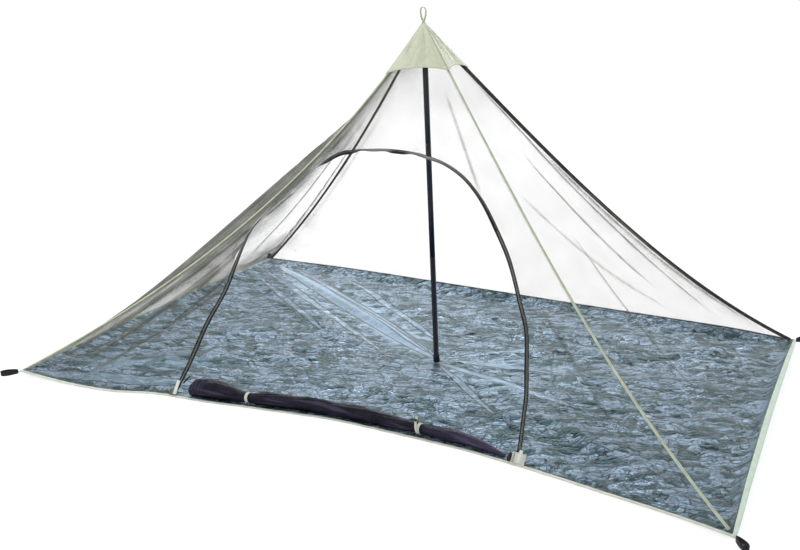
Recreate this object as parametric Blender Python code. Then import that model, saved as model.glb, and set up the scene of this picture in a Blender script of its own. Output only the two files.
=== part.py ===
"""Pyramid mosquito net tent for one sleeper, pitched over its black centre pole.

Units are metres. The pole stands at the origin, +Z is up, +X runs along the long front
and the doorway looks towards -Y. Four net panels hang between four taped ridges that
sag from the capped peak to the corners. A coated floor sheet is bound to the nets by a
hem tape, and the door lies rolled and tied along the front hem.
"""

import math
from typing import NamedTuple

import bmesh
import bpy
import numpy as np

# Overall size
TENT_LENGTH = 2.20
TENT_WIDTH = 1.22
NET_PEAK_HEIGHT = 1.0725
CORNER_HEIGHT = 0.015

# Cloth and clearances
NET_THICKNESS = 0.0016
FLOOR_THICKNESS = 0.0016
TAPE_THICKNESS = 0.0012
HEM_THICKNESS = 0.0030
CAP_THICKNESS = 0.0016
GAP = 0.0003
TAPE_GAP = 0.0006
NET_LIFT = 0.0026
NET_EDGE_INSET = 0.0014
SEAM_STRIP = 0.0100
FLOOR_EDGE_INSET = 0.0010

# Net panels, as fractions of the way up a ridge
NET_TOP = 0.955
CAP_EDGE = 0.890
CAP_EDGE_DIP = 0.010
CAP_ROWS = (0.925, 0.955, 0.980, 0.9985)
RIDGE_ROWS = 18
LONG_SEGMENTS = 20
SHORT_SEGMENTS = 14
DOORSIDE_SEGMENTS = 6
CREASE_EASE = 0.22
SWELL_EASE = 0.16
HEM_EASE = 0.12
CAP_EASE = (0.64, 0.885)

# Ridge tapes
RIDGE_TAPE_HALF_WIDTH = 0.0085
RIDGE_TAPE_START = 0.13

# Doorway and its zip
DOOR_LEFT = -0.580
DOOR_RIGHT = 0.525
CROWN_SHARE = 0.44
CROWN_SEGMENTS = 3
ARCH_POINTS = 400
ZIP_WIDTH = 0.0125
ZIP_THICKNESS = 0.0020
ZIP_START = 0.20
TAB_STAND_OFF = 0.0024
TAB_DROP = 0.0022
SLIDER_DROP = 0.0006
TAB_THICKNESS = 0.0022
LEFT_TAB_ACROSS = DOOR_LEFT + 0.003
RIGHT_TAB_ACROSS = DOOR_RIGHT - 0.006
SLIDER_HALF_WIDTH = 0.0060
SLIDER_THICKNESS = 0.0055

# Rolled door
ROLL_SIDES = 12
ROLL_HEM_CLEARANCE = 0.0040
ROLL_FLOOR_GAP = 0.0007
ROLL_REACH = 0.02
ROLL_SET_BACK = 0.35
ROLL_LUMP = 0.035
ROLL_LUMP_TURNING = 14.0
PINCH_HALF_LENGTH = 0.008
TIE_WIDTH = 0.0100
TIE_THICKNESS = 0.0012
TIE_GAP = 0.0003
TIE_END_WIDTH = 0.0070
TOGGLE_RADIUS = 0.0038
TOGGLE_HALF_LENGTH = 0.008
TOGGLE_CHAMFER = 0.002
TOGGLE_SHIFT = 0.004
TOGGLE_SIDES = 10
TOGGLE_SEAT = 4

# Pole
POLE_RADIUS = 0.0085
POLE_FOOT_RADIUS = 0.0105
POLE_FOOT_HEIGHT = 0.022
POLE_TIP_RADIUS = 0.0040
POLE_TIP_DROP = 0.0002
POLE_SIDES = 16
POLE_FOOT_X = 0.025
POLE_FOOT_Y = -0.012

# Peg loops and the hanging loop
LOOP_REACH = 0.060
LOOP_HALF_WIDTH = 0.0110
LOOP_WEBBING = 0.0016
LOOP_TAPE_WIDTH = 0.015
LOOP_STUB = 0.007
PEAK_LOOP_LENGTH = 0.044
PEAK_LOOP_HALF_WIDTH = 0.0120
PEAK_LOOP_SEAT = 0.0015
PEAK_LOOP_TAPE_WIDTH = 0.010
LOOP_STEPS = 18

# Floor sheet
GROUND_LIFT = FLOOR_THICKNESS / 2
POLE_FLAT_RADIUS = 0.10
POLE_FLAT_FADE = 0.10
FOLD_EDGE_FADE = (0.03, 0.13)


class Ridge(NamedTuple):
    """A seam from a floor corner to the peak."""

    side_x: int
    side_y: int
    sag: float
    skew: float


class HemRow(NamedTuple):
    """Where the hem runs at a share of the way along its side."""

    along: float
    inward: float
    height: float


class Panel(NamedTuple):
    """A net wall between two ridges, named left to right as seen from outside."""

    start: str
    end: str
    outward: tuple
    segments: int
    hem: tuple
    hem_tape_width: float
    edge_rise: float


class Swell(NamedTuple):
    """A broad rounding of a net wall, placed by shares of its width and its ridges."""

    along: float
    up: float
    half_along: float
    half_up: float
    height: float


class Crease(NamedTuple):
    """A straight soft fold between two places, tapering to nothing at both ends."""

    start_across: float
    start_up: float
    end_across: float
    end_up: float
    half_width: float
    height: float


class ArchRow(NamedTuple):
    """A point of the doorway's edge, from the middle of the front wall's hem."""

    across: float
    up: float


class RollRow(NamedTuple):
    """The rolled door's radius and its axis above the floor, at a distance along the front."""

    along: float
    radius: float
    axis: float


class TabSize(NamedTuple):
    """A sewn tab: a base with a narrower tongue standing on it."""

    base_width: float
    base_height: float
    tongue_width: float
    tongue_height: float
    tongue_shift: float


class OutlineRow(NamedTuple):
    """A corner of a small plate's outline."""

    aside: float
    up: float


class TwistRow(NamedTuple):
    """How far the zip's free edge is turned out of the wall at a share of the arch."""

    share: float
    degrees: float


class TieEndRow(NamedTuple):
    """A place of the tie's free end: its turn round the roll, its lift and its shift."""

    degrees: float
    lift: float
    aside: float


class LatheRow(NamedTuple):
    """A ring of a turned shape."""

    radius: float
    height: float


RIDGES = {
    "front_left": Ridge(-1, -1, 0.100, -0.10),
    "front_right": Ridge(1, -1, 0.062, 0.50),
    "back_right": Ridge(1, 1, 0.066, 0.40),
    "back_left": Ridge(-1, 1, 0.046, 0.00),
}

PANELS = {
    "front": Panel(
        "front_left",
        "front_right",
        (0, -1),
        LONG_SEGMENTS,
        (
            HemRow(0.00, 0.000, CORNER_HEIGHT),
            HemRow(0.07, 0.003, 0.008),
            HemRow(0.14, 0.017, 0.004),
            HemRow(0.22, 0.064, 0.0026),
            HemRow(0.29, 0.078, 0.0022),
            HemRow(0.36, 0.101, 0.0022),
            HemRow(0.50, 0.133, 0.0022),
            HemRow(0.64, 0.128, 0.0022),
            HemRow(0.74, 0.107, 0.0026),
            HemRow(0.84, 0.074, 0.004),
            HemRow(0.95, 0.032, 0.008),
            HemRow(1.00, 0.000, CORNER_HEIGHT),
        ),
        0.0085,
        0.014,
    ),
    "right": Panel(
        "front_right",
        "back_right",
        (1, 0),
        SHORT_SEGMENTS,
        (
            HemRow(0.00, 0.000, CORNER_HEIGHT),
            HemRow(0.20, 0.006, 0.026),
            HemRow(0.50, 0.009, 0.030),
            HemRow(0.80, 0.005, 0.027),
            HemRow(1.00, 0.000, CORNER_HEIGHT),
        ),
        0.0170,
        0.028,
    ),
    "back": Panel(
        "back_right",
        "back_left",
        (0, 1),
        LONG_SEGMENTS,
        (
            HemRow(0.00, 0.000, CORNER_HEIGHT),
            HemRow(0.12, 0.006, 0.027),
            HemRow(0.35, -0.004, 0.022),
            HemRow(0.55, 0.004, 0.026),
            HemRow(0.80, -0.004, 0.023),
            HemRow(1.00, 0.000, CORNER_HEIGHT),
        ),
        0.0085,
        0.045,
    ),
    "left": Panel(
        "back_left",
        "front_left",
        (-1, 0),
        SHORT_SEGMENTS,
        (
            HemRow(0.00, 0.000, CORNER_HEIGHT),
            HemRow(0.30, -0.006, 0.020),
            HemRow(0.60, -0.010, 0.017),
            HemRow(1.00, 0.000, CORNER_HEIGHT),
        ),
        0.0085,
        0.030,
    ),
}

SWELLS = {
    "front": (Swell(0.13, 0.24, 0.14, 0.32, -0.012),),
    "right": (Swell(0.57, 0.40, 0.50, 0.40, -0.012), Swell(0.90, 0.50, 0.15, 0.30, 0.012)),
    "back": (Swell(0.50, 0.36, 0.50, 0.40, -0.022), Swell(0.12, 0.50, 0.13, 0.34, 0.022)),
    "left": (Swell(0.84, 0.48, 0.13, 0.34, 0.042), Swell(0.40, 0.40, 0.30, 0.35, -0.010)),
}

CREASES = {
    "front": (
        Crease(-0.90, 0.12, -0.36, 0.80, 0.030, 0.007),
        Crease(-0.74, 0.10, -0.42, 0.62, 0.030, -0.007),
        Crease(0.80, 0.10, 0.52, 0.45, 0.040, 0.005),
        Crease(0.40, 0.70, 0.16, 1.00, 0.035, -0.005),
    ),
    "right": (
        Crease(-0.42, 0.12, -0.08, 1.20, 0.035, 0.008),
        Crease(0.05, 0.10, 0.02, 1.05, 0.040, 0.009),
        Crease(0.44, 0.15, 0.12, 1.15, 0.035, -0.008),
    ),
    "back": (
        Crease(-0.95, 0.10, -0.10, 1.10, 0.035, 0.010),
        Crease(-0.62, 0.08, -0.05, 1.05, 0.040, -0.010),
        Crease(-0.20, 0.10, -0.02, 0.90, 0.045, 0.009),
        Crease(0.30, 0.12, 0.04, 1.00, 0.040, -0.009),
        Crease(0.98, 0.06, 0.16, 1.02, 0.045, 0.014),
    ),
    "left": (
        Crease(-0.30, 0.10, -0.06, 1.10, 0.035, 0.008),
        Crease(0.10, 0.10, 0.05, 1.15, 0.035, -0.008),
    ),
}

DOOR_ARCH = (
    ArchRow(DOOR_LEFT, 0.000),
    ArchRow(-0.578, 0.130),
    ArchRow(-0.570, 0.256),
    ArchRow(-0.547, 0.385),
    ArchRow(-0.530, 0.508),
    ArchRow(-0.508, 0.606),
    ArchRow(-0.451, 0.690),
    ArchRow(-0.386, 0.754),
    ArchRow(-0.302, 0.842),
    ArchRow(-0.229, 0.876),
    ArchRow(-0.110, 0.881),
    ArchRow(0.006, 0.873),
    ArchRow(0.117, 0.852),
    ArchRow(0.207, 0.818),
    ArchRow(0.289, 0.759),
    ArchRow(0.359, 0.681),
    ArchRow(0.418, 0.597),
    ArchRow(0.463, 0.500),
    ArchRow(0.502, 0.403),
    ArchRow(0.516, 0.300),
    ArchRow(0.526, 0.200),
    ArchRow(DOOR_RIGHT, 0.000),
)

ZIP_TWIST = (
    TwistRow(0.00, 0.0),
    TwistRow(0.14, -25.0),
    TwistRow(0.25, 35.0),
    TwistRow(0.36, -10.0),
    TwistRow(0.44, 60.0),
    TwistRow(0.52, 5.0),
    TwistRow(0.60, 40.0),
    TwistRow(0.72, -20.0),
    TwistRow(0.84, 65.0),
    TwistRow(0.92, 10.0),
    TwistRow(1.00, 0.0),
)

TIE_END_ROUTE = (
    TieEndRow(205.0, 0.000, 0.001),
    TieEndRow(180.0, 0.000, 0.003),
    TieEndRow(150.0, 0.000, 0.006),
    TieEndRow(120.0, 0.001, 0.009),
    TieEndRow(100.0, 0.004, 0.012),
    TieEndRow(85.0, 0.009, 0.013),
    TieEndRow(78.0, 0.016, 0.013),
)

TIE_LEFT_ALONG = -0.340
TIE_RIGHT_ALONG = 0.207

DOOR_ROLL = (
    RollRow(-0.528, 0.0190, 0.0165),
    RollRow(-0.520, 0.0240, 0.0205),
    RollRow(-0.500, 0.0265, 0.0228),
    RollRow(-0.450, 0.0270, 0.0232),
    RollRow(-0.400, 0.0225, 0.0194),
    RollRow(-0.368, 0.0175, 0.0165),
    RollRow(TIE_LEFT_ALONG - PINCH_HALF_LENGTH, 0.0145, 0.0159),
    RollRow(TIE_LEFT_ALONG + PINCH_HALF_LENGTH, 0.0145, 0.0159),
    RollRow(-0.310, 0.0180, 0.0160),
    RollRow(-0.265, 0.0205, 0.0176),
    RollRow(-0.200, 0.0200, 0.0172),
    RollRow(-0.130, 0.0210, 0.0180),
    RollRow(-0.060, 0.0195, 0.0168),
    RollRow(0.010, 0.0205, 0.0176),
    RollRow(0.080, 0.0190, 0.0164),
    RollRow(0.145, 0.0175, 0.0160),
    RollRow(0.178, 0.0155, 0.0159),
    RollRow(TIE_RIGHT_ALONG - PINCH_HALF_LENGTH, 0.0140, 0.0159),
    RollRow(TIE_RIGHT_ALONG + PINCH_HALF_LENGTH, 0.0140, 0.0159),
    RollRow(0.240, 0.0160, 0.0159),
    RollRow(0.300, 0.0175, 0.0159),
    RollRow(0.350, 0.0150, 0.0150),
    RollRow(0.400, 0.0115, 0.0110),
    RollRow(0.440, 0.0080, 0.0069),
    RollRow(0.472, 0.0045, 0.0039),
)

LEFT_TAB = TabSize(0.028, 0.020, 0.011, 0.026, 0.006)
RIGHT_TAB = TabSize(0.040, 0.030, 0.011, 0.008, 0.002)

SLIDER_OUTLINE = (
    OutlineRow(-0.0030, 0.0),
    OutlineRow(0.0030, 0.0),
    OutlineRow(SLIDER_HALF_WIDTH, 0.0060),
    OutlineRow(SLIDER_HALF_WIDTH, 0.0150),
    OutlineRow(0.0020, 0.0250),
    OutlineRow(-0.0020, 0.0250),
    OutlineRow(-SLIDER_HALF_WIDTH, 0.0150),
    OutlineRow(-SLIDER_HALF_WIDTH, 0.0060),
)

FLOOR_CREASES = (
    Crease(-1.02, 0.54, -0.12, 0.10, 0.045, 0.010),
    Crease(-0.98, 0.42, -0.20, -0.08, 0.050, 0.008),
    Crease(-0.80, 0.50, 0.02, 0.30, 0.050, 0.009),
    Crease(-0.95, -0.48, -0.30, -0.05, 0.050, 0.009),
    Crease(-0.98, -0.36, -0.55, 0.12, 0.050, 0.007),
    Crease(0.16, -0.03, 0.98, -0.50, 0.050, 0.010),
    Crease(0.30, -0.26, 0.96, -0.36, 0.045, 0.007),
    Crease(0.20, 0.10, 0.98, 0.50, 0.050, 0.009),
    Crease(0.42, 0.02, 1.00, 0.16, 0.050, 0.008),
    Crease(0.10, 0.30, 0.72, 0.44, 0.050, 0.008),
    Crease(-0.42, -0.30, 0.24, -0.28, 0.050, 0.007),
    Crease(0.70, -0.46, 0.78, 0.20, 0.050, 0.006),
)


# ---------------------------------------------------------------- scene and materials


def clear_scene():
    """Remove whatever the scene holds."""
    for item in list(bpy.data.objects):
        bpy.data.objects.remove(item, do_unlink=True)


def make_material(name, colour, roughness, metallic=0.0):
    """Return a Principled material with one colour."""
    material = bpy.data.materials.new(name)
    material.use_nodes = True
    shader = material.node_tree.nodes["Principled BSDF"]
    shader.inputs["Base Color"].default_value = (*colour, 1.0)
    shader.inputs["Roughness"].default_value = roughness
    shader.inputs["Metallic"].default_value = metallic
    material.diffuse_color = (*colour, 1.0)
    return material


def add_mesh(name, points, faces, material, smooth=False, closed=True):
    """Add a mesh object from points and faces, a closed one with its faces outward."""
    mesh = bpy.data.meshes.new(name)
    mesh.from_pydata([tuple(map(float, point)) for point in points], [], faces)
    mesh.materials.append(material)
    if closed:
        shape = bmesh.new()
        shape.from_mesh(mesh)
        bmesh.ops.recalc_face_normals(shape, faces=shape.faces)
        shape.to_mesh(mesh)
        shape.free()
    if smooth:
        mesh.shade_smooth()
        mesh.set_sharp_from_angle(angle=math.radians(50))
    mesh.validate()
    mesh.update()
    item = bpy.data.objects.new(name, mesh)
    bpy.context.scene.collection.objects.link(item)
    return item


# ---------------------------------------------------------------- small mathematics


def unit(vector):
    """Scale vectors to length one along the last axis."""
    vector = np.asarray(vector, float)
    return vector / np.linalg.norm(vector, axis=-1, keepdims=True)


def smoothstep(low, high, value):
    """Rise softly from 0 at low to 1 at high."""
    share = np.clip((value - low) / (high - low), 0.0, 1.0)
    return share * share * (3 - 2 * share)


def soft_table(knots, values, at):
    """Run a smooth curve through the table's values, flat where they peak."""
    knots = np.asarray(knots, float)
    values = np.asarray(values, float)
    steps = np.diff(values) / np.diff(knots)
    slopes = np.zeros(len(knots))
    same_way = steps[1:] * steps[:-1] > 0
    slopes[1:-1][same_way] = 2 / (1 / steps[1:][same_way] + 1 / steps[:-1][same_way])
    slopes[0] = steps[0]
    slopes[-1] = steps[-1]
    at = np.clip(at, knots[0], knots[-1])
    index = np.clip(np.searchsorted(knots, at, side="right") - 1, 0, len(knots) - 2)
    span = knots[index + 1] - knots[index]
    t = (at - knots[index]) / span
    first = (1 + 2 * t) * (1 - t) ** 2 * values[index] + t * (1 - t) ** 2 * span * slopes[index]
    last = t * t * (3 - 2 * t) * values[index + 1] - t * t * (1 - t) * span * slopes[index + 1]
    return first + last


def crease_height(creases, across, up):
    """Sum the soft folds at a place, each a bell across its line."""
    total = 0.0
    for crease in creases:
        start = np.array((crease.start_across, crease.start_up))
        line = np.array((crease.end_across, crease.end_up)) - start
        length = np.linalg.norm(line)
        offset = np.array((across, up)) - start
        share = float(offset @ line) / length**2
        if not 0.0 < share < 1.0:
            continue
        away = abs(offset[0] * line[1] - offset[1] * line[0]) / length
        ends = smoothstep(0.0, 0.22, share) * smoothstep(0.0, 0.22, 1.0 - share)
        total += crease.height * ends * math.exp(-((away / crease.half_width) ** 2))
    return total


# ---------------------------------------------------------------- the pitched shape


def ridge_foot(ridge):
    """The ridge's lower end, on top of the hem tape at the corner."""
    x = ridge.side_x * TENT_LENGTH / 2
    y = ridge.side_y * TENT_WIDTH / 2
    return np.array((x, y, CORNER_HEIGHT + NET_LIFT))


def ridge_point(name, up):
    """A point of a ridge, which sags inward and down between corner and peak."""
    ridge = RIDGES[name]
    foot = ridge_foot(ridge)
    chord = np.array((0.0, 0.0, NET_PEAK_HEIGHT)) - foot
    level = unit(np.array((chord[0], chord[1], 0.0)))
    along = unit(chord)
    down = unit(level * along[2] - np.array((0.0, 0.0, 1.0)) * (along @ level))
    shape = 4 * up * (1 - up) * (1 + ridge.skew * (1 - 2 * up))
    return foot + up * chord + ridge.sag * shape * down


def hem_offset(panel, along):
    """The hem's inward bow and its height at a share of the side."""
    knots = [row.along for row in panel.hem]
    inward = soft_table(knots, [row.inward for row in panel.hem], along)
    height = soft_table(knots, [row.height for row in panel.hem], along)
    return inward, height


def panel_base(panel):
    """The straight length of a wall's hem."""
    return TENT_LENGTH if panel.outward[0] == 0 else TENT_WIDTH


def panel_slant(panel):
    """The height of a wall measured up its slope."""
    reach = TENT_WIDTH / 2 if panel.outward[0] == 0 else TENT_LENGTH / 2
    return math.hypot(reach, NET_PEAK_HEIGHT)


def panel_point(name, along, up):
    """A point of a wall's middle surface: along its width, up its ridges."""
    panel = PANELS[name]
    left = ridge_point(panel.start, up)
    right = ridge_point(panel.end, up)
    inward, height = hem_offset(panel, along)
    outward = np.array((panel.outward[0], panel.outward[1], 0.0))
    point = (1 - along) * left + along * right
    point -= outward * inward * (1 - up)
    point[2] += (height - CORNER_HEIGHT) * (1 - up) ** 3
    slant = panel_slant(panel)
    width = panel_base(panel) * (1 - up)
    across = (along - 0.5) * width
    rise = up * slant
    edge = min(along, 1 - along)
    bulge = crease_height(CREASES[name], across, rise) * smoothstep(0.0, CREASE_EASE, edge)
    for swell in SWELLS[name]:
        spread = ((along - swell.along) / swell.half_along) ** 2
        spread += ((up - swell.up) / swell.half_up) ** 2
        bulge += swell.height * math.exp(-spread) * smoothstep(0.0, SWELL_EASE, edge)
    ease = smoothstep(0.0, HEM_EASE, up) * (1 - smoothstep(*CAP_EASE, up))
    reach = TENT_WIDTH / 2 if panel.outward[0] == 0 else TENT_LENGTH / 2
    normal = (outward * NET_PEAK_HEIGHT + np.array((0.0, 0.0, reach))) / slant
    return point + normal * bulge * ease


def ridge_rows():
    """The shares up a ridge at which every piece there has its points."""
    lower = np.linspace(0.0, CAP_EDGE, RIDGE_ROWS - 1)
    return [*lower, CAP_ROWS[0], NET_TOP]


def front_alongs():
    """The front hem's stations, with one at each foot of the doorway."""
    left = 0.5 + DOOR_LEFT / TENT_LENGTH
    right = 0.5 + DOOR_RIGHT / TENT_LENGTH
    sill = LONG_SEGMENTS - 2 * DOORSIDE_SEGMENTS
    return np.concatenate(
        (
            np.linspace(0.0, left, DOORSIDE_SEGMENTS + 1),
            np.linspace(left, right, sill + 1)[1:-1],
            np.linspace(right, 1.0, DOORSIDE_SEGMENTS + 1),
        )
    )


def hem_alongs(name):
    """The stations of a side's hem."""
    if name == "front":
        return front_alongs()
    return np.linspace(0.0, 1.0, PANELS[name].segments + 1)


def hem_line(name):
    """The hem's middle line at its stations, where floor edge and tape meet."""
    points = [panel_point(name, along, 0.0) for along in hem_alongs(name)]
    return np.array(points) - np.array((0.0, 0.0, NET_LIFT))


def with_strip(grid):
    """The same grid with a narrow strip of its own along its first column."""
    strip = grid[:, 0] + unit(grid[:, 1] - grid[:, 0]) * SEAM_STRIP
    return np.insert(grid, 1, strip, axis=1)


def wall_grid(name):
    """Rows of a plain wall's middle surface, from its hem to under the cap."""
    alongs = hem_alongs(name)
    rows = [[panel_point(name, along, up) for along in alongs] for up in ridge_rows()]
    return with_strip(with_strip(np.array(rows))[:, ::-1])[:, ::-1]


def arch_curve():
    """Points closely spaced along the doorway's edge, in the front wall's plane."""
    knots = np.array([(row.across, row.up) for row in DOOR_ARCH])
    chords = np.concatenate(([0.0], np.cumsum(np.linalg.norm(np.diff(knots, axis=0), axis=1))))
    fine = np.linspace(0.0, chords[-1], ARCH_POINTS)
    return np.column_stack([soft_table(chords, knots[:, axis], fine) for axis in (0, 1)])


def leg_shares(side):
    """Shares of the arch that one ridge's rows lead to, most of them square to the ridge."""
    leg = arch_curve()[::-side][: int(CROWN_SHARE * ARCH_POINTS)]
    foot = np.array((side * TENT_LENGTH / 2, 0.0))
    slope = np.array((-side * TENT_LENGTH / 2, panel_slant(PANELS["front"])))
    shares = np.linspace(0.0, 1.0, len(leg))
    square = (leg - foot) @ slope / (slope @ slope)
    ups = square - square[0] * (1 - shares) ** 2 + (NET_TOP - square[-1]) * shares**6
    return np.interp(ridge_rows(), ups, CROWN_SHARE * shares)


def arch_shares():
    """Shares of the arch that the ridges' rows and the cap's edge lead to."""
    crown = np.linspace(CROWN_SHARE, 1 - CROWN_SHARE, CROWN_SEGMENTS + 1)[1:-1]
    return np.concatenate((leg_shares(-1), crown, 1 - leg_shares(1)[::-1]))


def front_grid():
    """The front wall round its doorway: rows from ridge to ridge, columns in to the arch."""
    ups = ridge_rows()
    tops = [(step / CROWN_SEGMENTS, NET_TOP) for step in range(1, CROWN_SEGMENTS)]
    rim = [(0.0, up) for up in ups] + tops + [(1.0, up) for up in reversed(ups)]
    curve = arch_curve()
    panel = PANELS["front"]
    rows = []
    for (along, up), share in zip(rim, arch_shares()):
        across, rise = curve[round(share * (ARCH_POINTS - 1))]
        arch_up = rise / panel_slant(panel)
        outer = np.array(((along - 0.5) * (1 - up), up))
        inner = np.array((across / TENT_LENGTH, arch_up))
        row = []
        for step in range(DOORSIDE_SEGMENTS + 1):
            flat, height = outer + (inner - outer) * step / DOORSIDE_SEGMENTS
            row.append(panel_point("front", 0.5 + flat / (1 - height), height))
        rows.append(row)
    return with_strip(np.array(rows))


class Seam(NamedTuple):
    """A ridge's points with the directions into the walls on both sides."""

    points: np.ndarray
    left_in: np.ndarray
    right_in: np.ndarray
    left_out: np.ndarray
    right_out: np.ndarray

    def offset(self, distance):
        """The line where both walls, moved outward by this distance, meet."""
        middle = unit(self.left_out + self.right_out)
        share = np.sum(middle * self.right_out, axis=1, keepdims=True)
        return self.points + middle * distance / share


def seam_frames(points, left_inner, right_inner):
    """Work out a ridge's directions from the nearest points of both walls."""
    tangents = unit(np.gradient(points, axis=0))

    def square_to(inner):
        away = inner - points
        return unit(away - tangents * np.sum(away * tangents, axis=1, keepdims=True))

    left_in = square_to(left_inner)
    right_in = square_to(right_inner)
    left_out = unit(np.cross(tangents, left_in))
    right_out = unit(np.cross(right_in, tangents))
    return Seam(points, left_in, right_in, left_out, right_out)


def neighbours_of_ridge(name, grids):
    """The points next to a ridge in the wall on its left and the wall on its right."""
    rows = len(ridge_rows())
    left_wall = next(key for key, panel in PANELS.items() if panel.end == name)
    right_wall = next(key for key, panel in PANELS.items() if panel.start == name)
    if left_wall == "front":
        left_inner = grids["front"][::-1][:rows, 1]
    else:
        left_inner = grids[left_wall][:, -2]
    if right_wall == "front":
        right_inner = grids["front"][:rows, 1]
    else:
        right_inner = grids[right_wall][:, 1]
    return left_inner, right_inner


# ---------------------------------------------------------------- solids from rows


def grid_faces(rows, columns):
    """Quads of a grid of points stored row by row."""
    faces = []
    for row in range(rows - 1):
        for column in range(columns - 1):
            a = row * columns + column
            faces.append((a, a + 1, a + columns + 1, a + columns))
    return faces


def add_cloth(name, grid, thickness, material):
    """A grid of points given an even thickness about its middle surface."""
    rows, columns = grid.shape[:2]
    faces = grid_faces(rows, columns)
    item = add_mesh(name, grid.reshape(-1, 3), faces, material, smooth=True, closed=False)
    solidify = item.modifiers.new("Thickness", "SOLIDIFY")
    solidify.thickness = thickness
    solidify.offset = 0.0
    return item


def add_loft(name, sections, material, smooth=False):
    """A closed bar through rings of points, its ends closed by flat faces."""
    sections = np.asarray(sections, float)
    count, sides = sections.shape[:2]
    faces = []
    for step in range(count - 1):
        for side in range(sides):
            a = step * sides + side
            b = step * sides + (side + 1) % sides
            faces.append((a, b, b + sides, a + sides))
    last = (count - 1) * sides
    half = sides // 2
    if sides == 6:
        faces.append((half, half - 1, 1, half + 1))
        faces.append((half + 1, 1, 0, sides - 1))
        faces.append((last + half + 1, last + 1, last + half - 1, last + half))
        faces.append((last + sides - 1, last, last + 1, last + half + 1))
    else:
        faces.append(tuple(reversed(range(sides))))
        faces.append(tuple(range(last, last + sides)))
    return add_mesh(name, sections.reshape(-1, 3), faces, material, smooth)


def add_band(name, inner, outer, width_vector, material):
    """A closed band between an inner and an outer outline, as wide as the vector."""
    sides = len(inner)
    width_vector = np.asarray(width_vector, float)
    points = np.concatenate((inner, outer, inner + width_vector, outer + width_vector))
    faces = []
    for side in range(sides):
        after = (side + 1) % sides
        inner_a, inner_b = side, after
        outer_a, outer_b = sides + side, sides + after
        far = 2 * sides
        faces.append((inner_a, inner_b, outer_b, outer_a))
        faces.append((far + inner_b, far + inner_a, far + outer_a, far + outer_b))
        faces.append((outer_a, outer_b, far + outer_b, far + outer_a))
        faces.append((inner_b, inner_a, far + inner_a, far + inner_b))
    return add_mesh(name, points, faces, material, smooth=True)


def add_plate(name, outline, thickness_vector, material):
    """A flat plate of any outline, as thick as the vector."""
    outline = np.asarray(outline, float)
    sides = len(outline)
    points = np.concatenate((outline, outline + np.asarray(thickness_vector, float)))
    faces = [tuple(reversed(range(sides))), tuple(range(sides, 2 * sides))]
    for side in range(sides):
        after = (side + 1) % sides
        faces.append((side, after, after + sides, side + sides))
    return add_mesh(name, points, faces, material)


def add_leaning_lathe(name, rows, foot, top, sides, material):
    """A turned shape from a foot to a top that need not stand over it, with level ends."""
    foot = np.asarray(foot, float)
    top = np.asarray(top, float)
    sections = []
    for row in rows:
        share = (row.height - foot[2]) / (top[2] - foot[2])
        centre = foot + (top - foot) * share
        turns = np.arange(sides) * 2 * math.pi / sides
        ring = [centre + row.radius * np.array((math.cos(t), math.sin(t), 0.0)) for t in turns]
        sections.append(ring)
    return add_loft(name, sections, material, smooth=True)


# ---------------------------------------------------------------- nets, tapes and cap


def inset_ridge_columns(grid, left=True, right=True):
    """Draw a wall's edge columns back from the ridge lines by the seam's clearance."""
    grid = grid.copy()
    if left:
        grid[:, 0] += unit(grid[:, 1] - grid[:, 0]) * NET_EDGE_INSET
    if right:
        grid[:, -1] += unit(grid[:, -2] - grid[:, -1]) * NET_EDGE_INSET
    return grid


def build_walls(grids, net):
    """The four net walls, the front one open at its doorway."""
    for name, grid in grids.items():
        if name == "front":
            rows = len(ridge_rows())
            inset = grid.copy()
            inset[:rows] = inset_ridge_columns(grid[:rows], right=False)
            inset[-rows:] = inset_ridge_columns(grid[-rows:], right=False)
            add_cloth("net_front", inset[::-1], NET_THICKNESS, net)
        else:
            add_cloth(f"net_{name}", inset_ridge_columns(grid), NET_THICKNESS, net)


def build_ridge_tapes(seams, tape):
    """A folded tape over each ridge, from above the hem to under the cap."""
    near = NET_THICKNESS / 2 + TAPE_GAP
    far = near + TAPE_THICKNESS
    width = RIDGE_TAPE_HALF_WIDTH
    for name, seam in seams.items():
        sections = np.stack(
            (
                seam.points + seam.left_in * width + seam.left_out * far,
                seam.offset(far),
                seam.points + seam.right_in * width + seam.right_out * far,
                seam.points + seam.right_in * width + seam.right_out * near,
                seam.offset(near),
                seam.points + seam.left_in * width + seam.left_out * near,
            ),
            axis=1,
        )
        sections[0] += (sections[1] - sections[0]) * RIDGE_TAPE_START
        add_loft(f"ridge_tape_{name}", sections, tape)


def cap_seam(name, ups):
    """A ridge's frame at the cap's own rows."""
    left_wall = next(key for key, panel in PANELS.items() if panel.end == name)
    right_wall = next(key for key, panel in PANELS.items() if panel.start == name)
    points = np.array([ridge_point(name, up) for up in ups])
    left = np.array([panel_point(left_wall, 0.8, up) for up in ups])
    right = np.array([panel_point(right_wall, 0.2, up) for up in ups])
    return seam_frames(points, left, right)


def build_cap(material):
    """Four gores of coated cloth over the peak, outside nets and tapes."""
    distance = NET_THICKNESS / 2 + 2 * TAPE_GAP + TAPE_THICKNESS + CAP_THICKNESS / 2
    ups = (CAP_EDGE, *CAP_ROWS)
    for name, panel in PANELS.items():
        start = cap_seam(panel.start, ups)
        end = cap_seam(panel.end, ups)
        first = start.offset(distance) + start.right_in * NET_EDGE_INSET
        last = end.offset(distance) + end.left_in * NET_EDGE_INSET
        shares = np.linspace(0.0, 1.0, 5)
        rows = []
        for row in range(len(ups)):
            points = [first[row] + (last[row] - first[row]) * share for share in shares]
            if row == 0:
                rise = first[1] - first[0] + last[1] - last[0]
                for column, share in enumerate(shares):
                    lift = 4 * share * (1 - share) * CAP_EDGE_DIP / (ups[1] - ups[0])
                    points[column] = points[column] + rise / 2 * lift
            rows.append(points)
        add_cloth(f"cap_{name}", np.array(rows), CAP_THICKNESS, material)


# ---------------------------------------------------------------- floor and hem


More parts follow.
